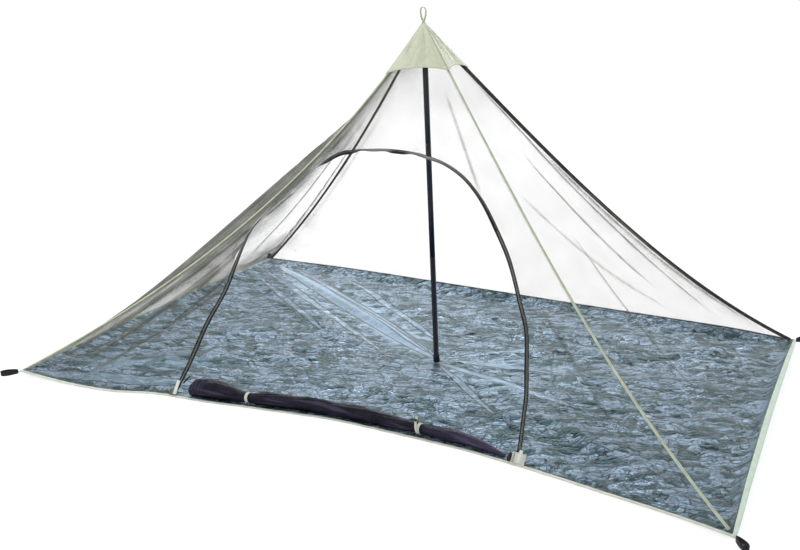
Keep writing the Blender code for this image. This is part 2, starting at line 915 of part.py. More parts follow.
def plan_normals(line):
    """Outward level directions at a hem's stations, lengthened at its bends."""
    edges = unit(np.diff(line[:, :2], axis=0))
    out = np.column_stack((edges[:, 1], -edges[:, 0]))
    joined = np.concatenate((out[:1], out[:-1] + out[1:], out[-1:]))
    normals = unit(joined)
    ahead = np.concatenate((out[:1], out))
    share = np.sum(normals * ahead, axis=1, keepdims=True)
    return np.column_stack((normals / share, np.zeros(len(line))))


def mitred(line, distance, gap):
    """A hem line moved outward by a distance, its ends cut back from the corners."""
    moved = line + plan_normals(line) * distance
    for end, inner in ((0, 1), (-1, -2)):
        corner = line[end][:2]
        diagonal = unit(np.sign(corner))
        square = np.array((-diagonal[1], diagonal[0]))
        along = unit(line[inner][:2] - corner)
        if along @ square < 0:
            square = -square
        out = moved[end][:2] - corner
        slide = (gap - out @ square) / (along @ square)
        moved[end][:2] += along * slide
    return moved


def build_hem_tapes(lines, material):
    """A folded binding along each side, mitred at the corners.

    The result tells how far the mitred tips reach out from each corner.
    """
    tips = {}
    lift = np.array((0.0, 0.0, HEM_THICKNESS / 2))
    for name, line in lines.items():
        shares = hem_alongs(name)
        swell = np.sqrt(np.sin(np.pi * shares).clip(0.0))[:, None]
        narrow = min(panel.hem_tape_width for panel in PANELS.values())
        width = narrow + (PANELS[name].hem_tape_width - narrow) * swell
        inner = mitred(line, 0.0, GAP)
        outer = mitred(line, narrow, GAP)
        outer[1:-1] += (plan_normals(line) * (width - narrow))[1:-1]
        sections = np.stack((inner - lift, outer - lift, outer + lift, inner + lift), axis=1)
        add_loft(f"hem_tape_{name}", sections, material)
        for end in (0, -1):
            corner = line[end][:2]
            tip = float((outer[end][:2] - corner) @ unit(np.sign(corner)))
            key = tuple(int(side) for side in np.sign(corner))
            tips[key] = max(tips.get(key, 0.0), tip)
    return tips


def subdivided(line, first_shares, last_shares):
    """A hem line with points added on its own straight segments."""
    points = []
    for index in range(len(line) - 1):
        shares = (0.5,)
        if index == 0:
            shares = first_shares
        if index == len(line) - 2:
            shares = last_shares
        points.append(line[index])
        points.extend(line[index] + (line[index + 1] - line[index]) * share for share in shares)
    points.append(line[-1])
    return np.array(points)


def floor_height(x, y, edges):
    """The floor's middle surface above the ground, away from its hems."""
    pole_side = smoothstep(POLE_FLAT_RADIUS, POLE_FLAT_RADIUS + POLE_FLAT_FADE, math.hypot(x, y))
    inner = smoothstep(*FOLD_EDGE_FADE, min(edges))
    return GROUND_LIFT + crease_height(FLOOR_CREASES, x, y) * pole_side * inner


def build_floor(lines, material):
    """The coated floor sheet: flat on the ground with soft folds, rising to its hems."""
    front = subdivided(lines["front"], (0.30, 0.62), (0.38, 0.70))
    back = subdivided(lines["back"], (0.30, 0.62), (0.38, 0.70))[::-1]
    left = subdivided(lines["left"], (0.40, 0.72), (0.40, 0.86))[::-1]
    right = subdivided(lines["right"], (0.14, 0.60), (0.28, 0.60))
    for line, push in ((front, (0, 1)), (back, (0, -1)), (left, (1, 0)), (right, (-1, 0))):
        line[:, :2] += np.array(push) * FLOOR_EDGE_INSET
    for line in (front, back):
        line[0, 0] += FLOOR_EDGE_INSET
        line[-1, 0] -= FLOOR_EDGE_INSET
    for line in (left, right):
        line[0, 1] += FLOOR_EDGE_INSET
        line[-1, 1] -= FLOOR_EDGE_INSET
    run_x = (front[:, 0] - front[0, 0]) / (front[-1, 0] - front[0, 0])
    run_y = (left[:, 1] - left[0, 1]) / (left[-1, 1] - left[0, 1])
    corners = (front[0], front[-1], back[0], back[-1])
    grid = np.zeros((len(left), len(front), 3))
    for row, v in enumerate(run_y):
        for column, u in enumerate(run_x):
            between = (1 - v) * front[column] + v * back[column]
            across = (1 - u) * left[row] + u * right[row]
            low = (1 - u) * corners[0] + u * corners[1]
            high = (1 - u) * corners[2] + u * corners[3]
            point = between + across - (1 - v) * low - v * high
            edges = (
                np.linalg.norm(point[:2] - front[column][:2]),
                np.linalg.norm(point[:2] - back[column][:2]),
                np.linalg.norm(point[:2] - left[row][:2]),
                np.linalg.norm(point[:2] - right[row][:2]),
            )
            rises = [
                max(0.0, 1.0 - away / PANELS[side].edge_rise)
                for side, away in zip(("front", "back", "left", "right"), edges)
            ]
            level = floor_height(point[0], point[1], edges)
            heights = (front[column][2], back[column][2], left[row][2], right[row][2])
            for rise, height in sorted(zip(rises, heights)):
                level += (height - level) * rise
            point[2] = level
            grid[row, column] = point
    grid[0] = front
    grid[-1] = back
    grid[:, 0] = left
    grid[:, -1] = right
    return add_cloth("floor", grid, FLOOR_THICKNESS, material)


# ---------------------------------------------------------------- doorway


def build_zip(grid, material):
    """The fixed half of the door's zip, a ribbon along the arch with a turning free edge."""
    edge = grid[:, -1]
    tangents = unit(np.gradient(edge, axis=0))
    away = edge - grid[:, -2]
    inward = unit(away - tangents * np.sum(away * tangents, axis=1, keepdims=True))
    normals = np.cross(tangents, inward)
    shares = arch_shares()
    turn = np.radians(soft_table([r.share for r in ZIP_TWIST], [r.degrees for r in ZIP_TWIST], shares))
    turn = turn[:, None]
    flat = inward * np.cos(turn) - normals * np.sin(turn)
    thick = np.cross(tangents, flat) * ZIP_THICKNESS / 2
    near = edge + inward * (TAPE_GAP + ZIP_THICKNESS / 2 * np.abs(np.sin(turn)))
    far = near + flat * ZIP_WIDTH
    sections = np.stack((near - thick, far - thick, far + thick, near + thick), axis=1)
    sections[0] += (sections[1] - sections[0]) * ZIP_START
    sections[-1] += (sections[-2] - sections[-1]) * ZIP_START
    return add_loft("zip_arch", sections, material)


def wall_frame(across, up):
    """A place on the front wall with its level, upward and outward directions."""
    slant = panel_slant(PANELS["front"])
    step = 0.004

    def at(shift_across, shift_up):
        height = (up + shift_up) / slant
        along = 0.5 + (across + shift_across) / (TENT_LENGTH * (1 - height))
        return panel_point("front", along, height)

    point = at(0.0, 0.0)
    level = unit(at(step, 0.0) - at(-step, 0.0))
    rise = at(0.0, step) - at(0.0, 0.0)
    rise = unit(rise - level * (rise @ level))
    return point, level, rise, np.cross(level, rise)


def add_tab(name, across, size, material):
    """A sewn tab outside the wall at a foot of the zip."""
    point, level, rise, out = wall_frame(across, 0.0)
    point = point + out * TAB_STAND_OFF - rise * TAB_DROP
    side = size.base_width / 2
    top = size.base_height
    tip = size.base_height + size.tongue_height
    tongue_start = size.tongue_shift - size.tongue_width / 2
    tongue_end = size.tongue_shift + size.tongue_width / 2
    outline = (
        OutlineRow(-side, 0.0),
        OutlineRow(side, 0.0),
        OutlineRow(side, top),
        OutlineRow(tongue_end, top),
        OutlineRow(tongue_end, tip),
        OutlineRow(tongue_start, tip),
        OutlineRow(tongue_start, top),
        OutlineRow(-side, top),
    )
    points = [point + level * row.aside + rise * row.up for row in outline]
    return add_plate(name, points, out * TAB_THICKNESS, material)


def build_slider(material):
    """The zip's slider with its pull, parked against the side of the right tab."""
    point, level, rise, out = wall_frame(RIGHT_TAB_ACROSS, 0.0)
    aside = RIGHT_TAB.base_width / 2 + GAP + SLIDER_HALF_WIDTH
    point = point - level * aside - rise * SLIDER_DROP
    points = [point + level * row.aside + rise * row.up for row in SLIDER_OUTLINE]
    return add_plate("zip_slider", points, out * SLIDER_THICKNESS, material)


def pinched(along):
    """Whether a tie holds the rolled door at this distance along the front."""
    nearest = min(abs(along - TIE_LEFT_ALONG), abs(along - TIE_RIGHT_ALONG))
    return nearest < 1.2 * PINCH_HALF_LENGTH


def roll_sections():
    """Rings round the rolled door, flattened where it lies on the floor."""
    line = hem_line("front")
    floor_top = FLOOR_THICKNESS + ROLL_FLOOR_GAP
    widest = max(row.radius for row in DOOR_ROLL)
    sections = []
    for row in DOOR_ROLL:
        hem_y, before, after = np.interp(
            (row.along, row.along - ROLL_REACH, row.along + ROLL_REACH), line[:, 0], line[:, 1]
        )
        square = unit(np.array((-(after - before) / (2 * ROLL_REACH), 1.0)))
        reach = ROLL_HEM_CLEARANCE + row.radius + ROLL_SET_BACK * (widest - row.radius)
        ring = []
        for side in range(ROLL_SIDES):
            turn = 2 * math.pi * side / ROLL_SIDES
            lump = 0.0 if pinched(row.along) else ROLL_LUMP
            radius = row.radius * (1 + lump * math.sin(2 * turn + ROLL_LUMP_TURNING * row.along))
            out = reach + radius * math.cos(turn)
            height = floor_top + max(0.0, row.axis + radius * math.sin(turn))
            ring.append((row.along + square[0] * out, hem_y + square[1] * out, height))
        sections.append(ring)
    return np.array(sections)


def build_ties(sections, tape, hard):
    """Two tape rings round the roll, the right one with a free end and a toggle."""
    alongs = np.array([row.along for row in DOOR_ROLL])
    for name, along in (("tie_left", TIE_LEFT_ALONG), ("tie_right", TIE_RIGHT_ALONG)):
        before = sections[np.argmin(np.abs(alongs - along + PINCH_HALF_LENGTH))]
        after = sections[np.argmin(np.abs(alongs - along - PINCH_HALF_LENGTH))]
        run = unit(after.mean(axis=0) - before.mean(axis=0))
        middle = (before + after) / 2
        centre = middle.mean(axis=0)
        radius = np.linalg.norm(middle - centre, axis=1, keepdims=True)
        away = (middle - centre) / radius
        inner = centre + away * (radius + TIE_GAP) - run * TIE_WIDTH / 2
        outer = inner + away * TIE_THICKNESS
        add_band(name, inner, outer, run * TIE_WIDTH, tape)
        if name == "tie_right":
            build_tie_end(outer, run, tape, hard)


def build_tie_end(outer, run, tape, hard):
    """The right tie's free end, which climbs aside over the roll, and its black toggle."""
    centre = outer.mean(axis=0) + run * TIE_WIDTH / 2
    level = unit(np.array((-run[1], run[0], 0.0)))
    up = np.array((0.0, 0.0, 1.0))
    radius = np.linalg.norm(outer - outer.mean(axis=0), axis=1).max() + TAPE_GAP
    route = []
    for row in TIE_END_ROUTE:
        turn = math.radians(row.degrees)
        away = level * math.cos(turn) + up * math.sin(turn)
        route.append((centre + away * (radius + row.lift) - run * row.aside, away))
    sections = []
    half = run * TIE_END_WIDTH / 2
    for place, away in route:
        top = place + away * TIE_THICKNESS
        sections.append((place - half, place + half, top + half, top - half))
    add_loft("tie_right_end", sections, tape)
    seat, away = route[TOGGLE_SEAT]
    side = np.cross(away, run)
    lift = TIE_THICKNESS + 2 * TAPE_GAP + TOGGLE_RADIUS
    middle = seat + away * lift - run * TOGGLE_SHIFT
    turns = np.arange(TOGGLE_SIDES) * 2 * math.pi / TOGGLE_SIDES
    full = TOGGLE_HALF_LENGTH - TOGGLE_CHAMFER
    narrow = TOGGLE_RADIUS - TOGGLE_CHAMFER / 2
    rings = []
    for reach, round_radius in (
        (-TOGGLE_HALF_LENGTH, narrow),
        (-full, TOGGLE_RADIUS),
        (full, TOGGLE_RADIUS),
        (TOGGLE_HALF_LENGTH, narrow),
    ):
        ring = [(away * math.cos(t) + side * math.sin(t)) * round_radius for t in turns]
        rings.append([middle + run * reach + offset for offset in ring])
    add_loft("tie_toggle", rings, hard, smooth=True)


# ---------------------------------------------------------------- loops and pole


def loop_outline(length, half_width, stub):
    """A drop-shaped outline, as (out, aside) pairs round from its stub."""
    pairs = []
    for step in range(LOOP_STEPS):
        turn = 2 * math.pi * (step + 0.5) / LOOP_STEPS
        share = (1 - math.cos(turn)) / 2
        out = stub + (length - stub) * share
        aside = half_width * math.sin(turn) * (0.45 + 0.55 * share)
        pairs.append((out, aside))
    return np.array(pairs)


def add_loop(name, root, out, aside, size, width_vector, material):
    """A closed webbing loop with a short solid stub at its root."""
    length, half_width = size
    outer = loop_outline(length, half_width, 0.0)
    inner = loop_outline(length - LOOP_WEBBING, half_width - LOOP_WEBBING, LOOP_STUB)
    inner, outer = (root + pairs[:, :1] * out + pairs[:, 1:] * aside for pairs in (inner, outer))
    return add_band(name, inner, outer, width_vector, material)


def build_peg_loops(tips, material):
    """A black webbing loop at each corner, standing on edge and pointing outward."""
    for name, ridge in RIDGES.items():
        start = tips[ridge.side_x, ridge.side_y] + GAP
        out = unit(np.array((ridge.side_x, ridge.side_y, 0.0)))
        aside = np.array((-out[1], out[0], 0.0))
        foot = ridge_foot(ridge)
        foot[2] = CORNER_HEIGHT - LOOP_TAPE_WIDTH / 2
        size = (LOOP_REACH - start, LOOP_HALF_WIDTH)
        width_vector = np.array((0.0, 0.0, LOOP_TAPE_WIDTH))
        add_loop(f"peg_loop_{name}", foot + out * start, out, aside, size, width_vector, material)


def build_peak_loop(material):
    """The hanging loop that stands on the cap's peak."""
    up = np.array((0.0, 0.0, 1.0))
    across = np.array((1.0, 0.0, 0.0))
    width_vector = np.array((0.0, PEAK_LOOP_TAPE_WIDTH, 0.0))
    root = up * (NET_PEAK_HEIGHT + PEAK_LOOP_SEAT) - width_vector / 2
    size = (PEAK_LOOP_LENGTH, PEAK_LOOP_HALF_WIDTH)
    return add_loop("peak_loop", root, up, across, size, width_vector, material)


def build_pole(material):
    """The centre pole, leaning a little from the floor sheet to the underside of the cap."""
    bottom = FLOOR_THICKNESS + GAP
    tip = NET_PEAK_HEIGHT - POLE_TIP_DROP
    foot = (POLE_FOOT_X, POLE_FOOT_Y, bottom)
    rows = (
        LatheRow(POLE_FOOT_RADIUS - 0.001, bottom),
        LatheRow(POLE_FOOT_RADIUS, bottom + 0.002),
        LatheRow(POLE_FOOT_RADIUS, bottom + POLE_FOOT_HEIGHT - 0.002),
        LatheRow(POLE_RADIUS, bottom + POLE_FOOT_HEIGHT),
        LatheRow(POLE_RADIUS, tip - 0.014),
        LatheRow(POLE_TIP_RADIUS, tip - 0.002),
        LatheRow(POLE_TIP_RADIUS * 0.75, tip),
    )
    return add_leaning_lathe("pole", rows, foot, (0.0, 0.0, tip), POLE_SIDES, material)


# ---------------------------------------------------------------- the whole tent


def main():
    """Build every piece of the pitched tent."""
    clear_scene()
    net = make_material("net_olive", (0.10, 0.11, 0.08), 0.75)
    floor = make_material("floor_blue_grey", (0.16, 0.24, 0.30), 0.35)
    cap = make_material("cap_sage", (0.62, 0.70, 0.52), 0.60)
    tape = make_material("tape_pale_green", (0.72, 0.80, 0.62), 0.70)
    black_tape = make_material("zip_black", (0.02, 0.02, 0.025), 0.55)
    roll = make_material("roll_dark", (0.045, 0.04, 0.07), 0.75)
    webbing = make_material("webbing_black", (0.03, 0.03, 0.03), 0.80)
    hard = make_material("hardware_black", (0.02, 0.02, 0.02), 0.40)
    pole = make_material("pole_black", (0.015, 0.018, 0.03), 0.35)

    grids = {name: wall_grid(name) for name in PANELS if name != "front"}
    grids["front"] = front_grid()
    lines = {name: hem_line(name) for name in PANELS}
    seams = {}
    for name in RIDGES:
        points = np.array([ridge_point(name, up) for up in ridge_rows()])
        seams[name] = seam_frames(points, *neighbours_of_ridge(name, grids))

    build_floor(lines, floor)
    tips = build_hem_tapes(lines, tape)
    build_walls(grids, net)
    build_ridge_tapes(seams, tape)
    build_cap(cap)
    build_zip(grids["front"], black_tape)
    add_tab("zip_tab_left", LEFT_TAB_ACROSS, LEFT_TAB, tape)
    add_tab("zip_tab_right", RIGHT_TAB_ACROSS, RIGHT_TAB, tape)
    build_slider(hard)
    rings = roll_sections()
    add_loft("door_roll", rings, roll, smooth=True)
    build_ties(rings, tape, hard)
    build_peg_loops(tips, webbing)
    build_peak_loop(tape)
    build_pole(pole)


main()
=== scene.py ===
"""Dress the pyramid mosquito net tent: sheer walls, crinkled floor, tapes, zip and rolled door.

The tent stands in the frame of its solids. Units are metres, +Z is up, +X runs along the long
front and the doorway looks towards -Y.
"""

import logging
import math
from dataclasses import astuple, dataclass
from enum import Enum
from typing import Iterable, Optional, Sequence

import bmesh
import bpy
import numpy as np
from mathutils import Matrix, Vector

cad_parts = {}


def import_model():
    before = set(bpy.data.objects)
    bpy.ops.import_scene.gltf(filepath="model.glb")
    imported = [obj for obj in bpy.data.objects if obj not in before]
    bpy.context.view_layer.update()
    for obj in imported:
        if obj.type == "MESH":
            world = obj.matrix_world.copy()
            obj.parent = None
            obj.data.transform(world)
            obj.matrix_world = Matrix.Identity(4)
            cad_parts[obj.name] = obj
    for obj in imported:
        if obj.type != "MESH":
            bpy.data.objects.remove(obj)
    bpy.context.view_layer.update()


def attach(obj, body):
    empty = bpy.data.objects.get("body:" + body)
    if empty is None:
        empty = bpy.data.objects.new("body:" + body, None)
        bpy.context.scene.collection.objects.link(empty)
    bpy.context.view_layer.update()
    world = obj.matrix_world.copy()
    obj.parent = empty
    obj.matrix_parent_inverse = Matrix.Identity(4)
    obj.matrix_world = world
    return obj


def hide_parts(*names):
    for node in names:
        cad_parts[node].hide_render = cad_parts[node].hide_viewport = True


LOG = logging.getLogger("net_tent")

TENT_LENGTH = 2.2
TENT_WIDTH = 1.22
PEAK_HEIGHT = 1.0725
CORNER_HEIGHT = 0.015
NET_LIFT = 0.0026
NET_TOP = 0.955
CAP_EDGE = 0.89
CREASE_EASE = 0.22
SWELL_EASE = 0.16
HEM_EASE = 0.12
CAP_EASE = (0.64, 0.885)
GROUND_LIFT = 0.0008
HEM_THICKNESS = 0.003
GAP = 0.0003
TAPE_GAP = 0.0006
POLE_FOOT = (0.025, -0.012)
UP = np.array((0.0, 0.0, 1.0))

Array = np.ndarray
Piece = bpy.types.Object
Material = bpy.types.Material
Node = bpy.types.Node
NodeTree = bpy.types.NodeTree
Socket = bpy.types.NodeSocket
Marks = Optional[dict[str, Array]]
Sockets = bpy.types.bpy_prop_collection
Pair = tuple[float, float]
Triple = tuple[float, float, float]


# ---- small mathematics


def unit(vectors: Array) -> Array:
    """Scale vectors to length one along the last axis."""
    vectors = np.asarray(vectors, float)
    return vectors / np.maximum(np.linalg.norm(vectors, axis=-1, keepdims=True), 1e-12)


def smoothstep(low: float, high: float, value: Array) -> Array:
    """Rise softly from 0 at low to 1 at high."""
    share = np.clip((np.asarray(value, float) - low) / (high - low), 0.0, 1.0)
    return share * share * (3 - 2 * share)


def soft_table(knots: Sequence[float], values: Sequence[float], at: Array) -> Array:
    """Run a smooth curve through a table, flat where its values peak.

    Args:
        knots: Rising places of the table's rows.
        values: The value at each place.
        at: Places to read, of any shape.

    Returns:
        The curve's values, in the shape of at.
    """
    knots = np.asarray(knots, float)
    values = np.asarray(values, float)
    steps = np.diff(values) / np.diff(knots)
    slopes = np.zeros(len(knots))
    same_way = steps[1:] * steps[:-1] > 0
    slopes[1:-1][same_way] = 2 / (1 / steps[1:][same_way] + 1 / steps[:-1][same_way])
    slopes[0] = steps[0]
    slopes[-1] = steps[-1]
    at = np.clip(at, knots[0], knots[-1])
    index = np.clip(np.searchsorted(knots, at, side="right") - 1, 0, len(knots) - 2)
    span = knots[index + 1] - knots[index]
    t = (at - knots[index]) / span
    first = (1 + 2 * t) * (1 - t) ** 2 * values[index] + t * (1 - t) ** 2 * span * slopes[index]
    last = t * t * (3 - 2 * t) * values[index + 1] - t * t * (1 - t) * span * slopes[index + 1]
    return first + last


def soft_field(rows: Sequence[object], field: str, at: Array) -> Array:
    """Run a smooth curve through one field of a table's rows, which rise by their first field."""
    return soft_table([astuple(row)[0] for row in rows], [getattr(row, field) for row in rows], at)


def run_lengths(line: Array) -> Array:
    """The distance run along a line of points at each of them."""
    return np.concatenate(([0.0], np.cumsum(np.linalg.norm(np.diff(line, axis=0), axis=-1))))


def columns_at(at: Array, knots: Array, line: Array) -> Array:
    """Read each column of a line's points at places between its knots."""
    return np.column_stack([np.interp(at, knots, column) for column in line.T])


def soft_line(points: Sequence[Sequence[float]], count: int) -> Array:
    """Run a smooth line of evenly spaced points through a few places.

    Args:
        points: The places, of any dimension.
        count: How many points the line has.

    Returns:
        The line's points.
    """
    points = np.asarray(points, float)
    chords = run_lengths(points)
    fine = np.linspace(0.0, chords[-1], count)
    return np.column_stack([soft_table(chords, column, fine) for column in points.T])


def square_to(tangents: Array, vectors: Array) -> Array:
    """Directions of vectors with what runs along the tangents taken out."""
    return unit(vectors - tangents * np.sum(vectors * tangents, axis=1, keepdims=True))


def evenly(count: int) -> Array:
    """Evenly spaced shares from 0 to 1."""
    return np.linspace(0.0, 1.0, count)


def full_turn(count: int) -> Array:
    """Evenly spaced angles round a full turn."""
    return 2 * np.pi * np.arange(count) / count


def table(kind: type, *rows: Sequence[object]) -> tuple:
    """Make one record of a kind from each row of values."""
    return tuple(kind(*row) for row in rows)


@dataclass(frozen=True)
class GradientNoise:
    """Smooth two-way noise on a grid of seeded slopes."""

    seed: int
    cells: int = 128

    def at(self, x: Array, y: Array) -> Array:
        """Read the noise, about -1 to 1.

        Args:
            x: Places in cell units.
            y: The same the other way.

        Returns:
            The noise, in the shape of the places.
        """
        turns = np.random.default_rng(self.seed).uniform(0, 2 * np.pi, (self.cells, self.cells))
        column = np.floor(x).astype(int)
        row = np.floor(y).astype(int)
        fx = x - column
        fy = y - row

        def corner(dx: int, dy: int) -> Array:
            """The share of one corner's slope."""
            turn = turns[(column + dx) % self.cells, (row + dy) % self.cells]
            return np.cos(turn) * (fx - dx) + np.sin(turn) * (fy - dy)

        sx = fx**3 * (fx * (6 * fx - 15) + 10)
        sy = fy**3 * (fy * (6 * fy - 15) + 10)
        low = corner(0, 0) * (1 - sx) + corner(1, 0) * sx
        high = corner(0, 1) * (1 - sx) + corner(1, 1) * sx
        return 1.5 * (low * (1 - sy) + high * sy)

    def ridged(self, x: Array, y: Array) -> Array:
        """Read the noise folded to sharp crests, about 0 to 1."""
        return 1 - np.minimum(np.abs(self.at(x, y)) * 1.6, 1.0)


# ---- the pitched form


class Side(Enum):
    """A wall of the tent."""

    FRONT = "front"
    RIGHT = "right"
    BACK = "back"
    LEFT = "left"


class Corner(Enum):
    """A corner on the ground, and the ridge that rises from it."""

    FRONT_LEFT = "front_left"
    FRONT_RIGHT = "front_right"
    BACK_RIGHT = "back_right"
    BACK_LEFT = "back_left"


@dataclass(frozen=True)
class HemRow:
    """The hem's inward bow and height at a share of its side."""

    along: float
    inward: float
    height: float


@dataclass(frozen=True)
class Swell:
    """A broad rounding of a wall, by shares of its width and its ridges."""

    along: float
    up: float
    half_along: float
    half_up: float
    height: float

    def bell(self, along: Array, up: Array) -> Array:
        """The rounding's profile, 0 to 1, at shares along and up."""
        return np.exp(
            -(((along - self.along) / self.half_along) ** 2 + ((up - self.up) / self.half_up) ** 2))


@dataclass(frozen=True)
class Crease:
    """A straight soft fold between two places, fading at both ends."""

    start_across: float
    start_up: float
    end_across: float
    end_up: float
    half_width: float
    height: float

    def bell(self, across: Array, up: Array, narrow: float = 1.0) -> Array:
        """The fold's profile in its sheet.

        Args:
            across: Distances across the sheet.
            up: Distances up it.
            narrow: The share that the fold's width is drawn in by.

        Returns:
            The profile, 0 to 1.
        """
        line = np.array((self.end_across - self.start_across, self.end_up - self.start_up))
        length = float(np.linalg.norm(line))
        dx = across - self.start_across
        dy = up - self.start_up
        share = (dx * line[0] + dy * line[1]) / length**2
        away = np.abs(dx * line[1] - dy * line[0]) / length
        ends = smoothstep(0.0, 0.22, share) * smoothstep(0.0, 0.22, 1.0 - share)
        return ends * np.exp(-((away / (self.half_width * narrow)) ** 2))


def crease_height(creases: Iterable[Crease], across: Array, up: Array) -> Array:
    """Sum soft folds at places in their sheet.

    Args:
        creases: The folds.
        across: Distances across the sheet.
        up: Distances up it.

    Returns:
        The folds' height at each place.
    """
    total = np.zeros(np.broadcast(across, up).shape)
    for crease in creases:
        total += crease.height * crease.bell(across, up)
    return total


@dataclass(frozen=True)
class Ridge:
    """A seam from a corner to the peak, sagging inward and down."""

    side_x: int
    side_y: int
    sag: float
    skew: float

    def foot(self) -> Array:
        """The ridge's lower end, on top of the hem at the corner.

        Returns:
            The point.
        """
        x = self.side_x * TENT_LENGTH / 2
        y = self.side_y * TENT_WIDTH / 2
        return np.array((x, y, CORNER_HEIGHT + NET_LIFT))

    def point(self, up: Array) -> Array:
        """Points of the ridge.

        Args:
            up: Shares of the way up.

        Returns:
            A point for each share.
        """
        up = np.asarray(up, float)[..., None]
        foot = self.foot()
        chord = UP * PEAK_HEIGHT - foot
        level = unit(np.array((chord[0], chord[1], 0.0)))
        along = unit(chord)
        down = unit(level * along[2] - UP * (along @ level))
        shape = 4 * up * (1 - up) * (1 + self.skew * (1 - 2 * up))
        return foot + up * chord + self.sag * shape * down


RIDGES = {
    Corner.FRONT_LEFT: Ridge(-1, -1, 0.1, -0.1), Corner.FRONT_RIGHT: Ridge(1, -1, 0.062, 0.5),
    Corner.BACK_RIGHT: Ridge(1, 1, 0.066, 0.4), Corner.BACK_LEFT: Ridge(-1, 1, 0.046, 0.0)}


@dataclass(frozen=True)
class Wall:
    """A net wall between two ridges, left to right as seen from outside."""

    side: Side
    start: Corner
    end: Corner
    outward: tuple[int, int]
    hem: tuple[HemRow, ...]
    hem_width: float
    edge_rise: float
    swells: tuple[Swell, ...]
    creases: tuple[Crease, ...]
    pleats: tuple[Crease, ...]
    slack: tuple[Swell, ...]
    line_share: float = 0.62
    line_gather: float = 1.05
    pleat_depth: float = 0.005
    pucker_height: float = 0.003
    seam_pucker: float = 0.05
    hem_pucker: float = 0.06
    seam_fold: Triple = (0.75, 0.0065, 0.0085)
    hem_fold: Triple = (0.6, 0.007, 0.01)
    pleat_top: Pair = (0.8, 0.885)

    @property
    def base(self) -> float:
        """The straight length of the hem."""
        return TENT_LENGTH if self.outward[0] == 0 else TENT_WIDTH

    @property
    def reach(self) -> float:
        """How far the hem stands out from below the peak."""
        return TENT_WIDTH / 2 if self.outward[0] == 0 else TENT_LENGTH / 2

    @property
    def slant(self) -> float:
        """The wall's height measured up its slope."""
        return math.hypot(self.reach, PEAK_HEIGHT)

    @property
    def normal(self) -> Array:
        """The direction square to the wall, as long as its slant."""
        return np.array((*self.outward, 0.0)) * PEAK_HEIGHT + UP * self.reach

    def flat_area(self, top: float) -> float:
        """The wall's area from its hem to a share of the way up."""
        return self.base * self.slant * (1 - (1 - top) ** 2) / 2

    def hem_offset(self, along: Array) -> tuple[Array, Array]:
        """The hem's inward bow and its height at shares of the side."""
        return soft_field(self.hem, "inward", along), soft_field(self.hem, "height", along)

    def flat_place(self, along: Array, up: Array) -> tuple[Array, Array]:
        """Distances from the hem's middle, across and up the slope."""
        return (along - 0.5) * self.base * (1 - up), up * self.slant

    def pucker(self, along: Array, up: Array) -> Array:
        """Small ripples where the net is gathered into its seams and hem.

        Args:
            along: Shares of the way along.
            up: Shares of the way up.

        Returns:
            The ripples' height at each place.
        """
        across, rise = self.flat_place(along, up)
        left = np.minimum(along, 1) * self.base * (1 - up)
        right = self.base * (1 - up) - left
        noise = GradientNoise(11 + len(self.side.value))
        total = np.zeros_like(left)
        for distance, seed in ((left, 3.0), (right, 17.0)):
            fade = smoothstep(0.008, 0.022, distance) * np.exp(-distance / self.seam_pucker)
            total += self.pucker_height * noise.at(rise / 0.03 + seed, distance / 0.09 + seed) * fade
        fade = smoothstep(0.012, 0.03, rise) * np.exp(-rise / self.hem_pucker)
        total += self.pucker_height * noise.at(across / 0.035 + 5.0, rise / 0.12) * fade
        return total

    def surface(self, along: Array, up: Array, fine: bool = True) -> Array:
        """Points of the wall's middle surface.

        Args:
            along: Shares of the way from the start ridge to the end ridge.
            up: Shares of the way up the ridges.
            fine: Whether pleats and puckers are added to the solid's own form.

        Returns:
            The points, with the shape of along and up and three more numbers each.
        """
        along, up = np.broadcast_arrays(np.asarray(along, float), np.asarray(up, float))
        left = RIDGES[self.start].point(up)
        right = RIDGES[self.end].point(up)
        inward, height = self.hem_offset(along)
        outward = np.array((*self.outward, 0.0))
        point = (1 - along[..., None]) * left + along[..., None] * right
        point = point - outward * (inward * (1 - up))[..., None]
        point[..., 2] += (height - CORNER_HEIGHT) * (1 - up) ** 3
        across, rise = self.flat_place(along, up)
        edge = np.minimum(along, 1 - along)
        bulge = crease_height(self.creases, across, rise) * smoothstep(0.0, CREASE_EASE, edge)
        for swell in self.swells:
            bulge += swell.height * swell.bell(along, up) * smoothstep(0.0, SWELL_EASE, edge)
        bulge *= smoothstep(0.0, HEM_EASE, up) * (1 - smoothstep(*CAP_EASE, up))
        if fine:
            seams = smoothstep(0.0, 0.05, edge) * smoothstep(0.0, 0.04, up)
            top = 1 - smoothstep(*self.pleat_top, up)
            bulge += crease_height(self.pleats, across, rise) * seams * top
            bulge += self.pucker(along, up) * top
        return point + self.normal / self.slant * bulge[..., None]

    def gathering(self, along: Array, up: Array) -> Array:
        """How much net lies folded where its pleats and seams double it.

        Args:
            along: Shares of the way along.
            up: Shares of the way up.

        Returns:
            The gathering, 0 to 1, at each place.
        """
        across, rise = self.flat_place(along, up)
        total = np.zeros(np.broadcast(along, up).shape)
        for zone in self.slack:
            total += zone.height * zone.bell(along, up)
        for pleat in self.pleats:
            line = pleat.bell(across, rise, self.line_share)
            total = np.maximum(
                total, total * (1 - line) + line * self.line_gather * abs(pleat.height) / self.pleat_depth)
        left = along * self.base * (1 - up)
        distance = np.minimum(left, self.base * (1 - up) - left)
        seam = self.seam_fold[0] * (1 - smoothstep(*self.seam_fold[1:], distance))
        hem = self.hem_fold[0] * (1 - smoothstep(*self.hem_fold[1:], rise))
        return np.clip(np.maximum(total, np.maximum(seam, hem)), 0, 1)

    def hem_line(self, along: Array) -> Array:
        """The hem's middle line, where floor edge and binding meet."""
        return self.surface(along, np.zeros(len(along)), False) - UP * NET_LIFT


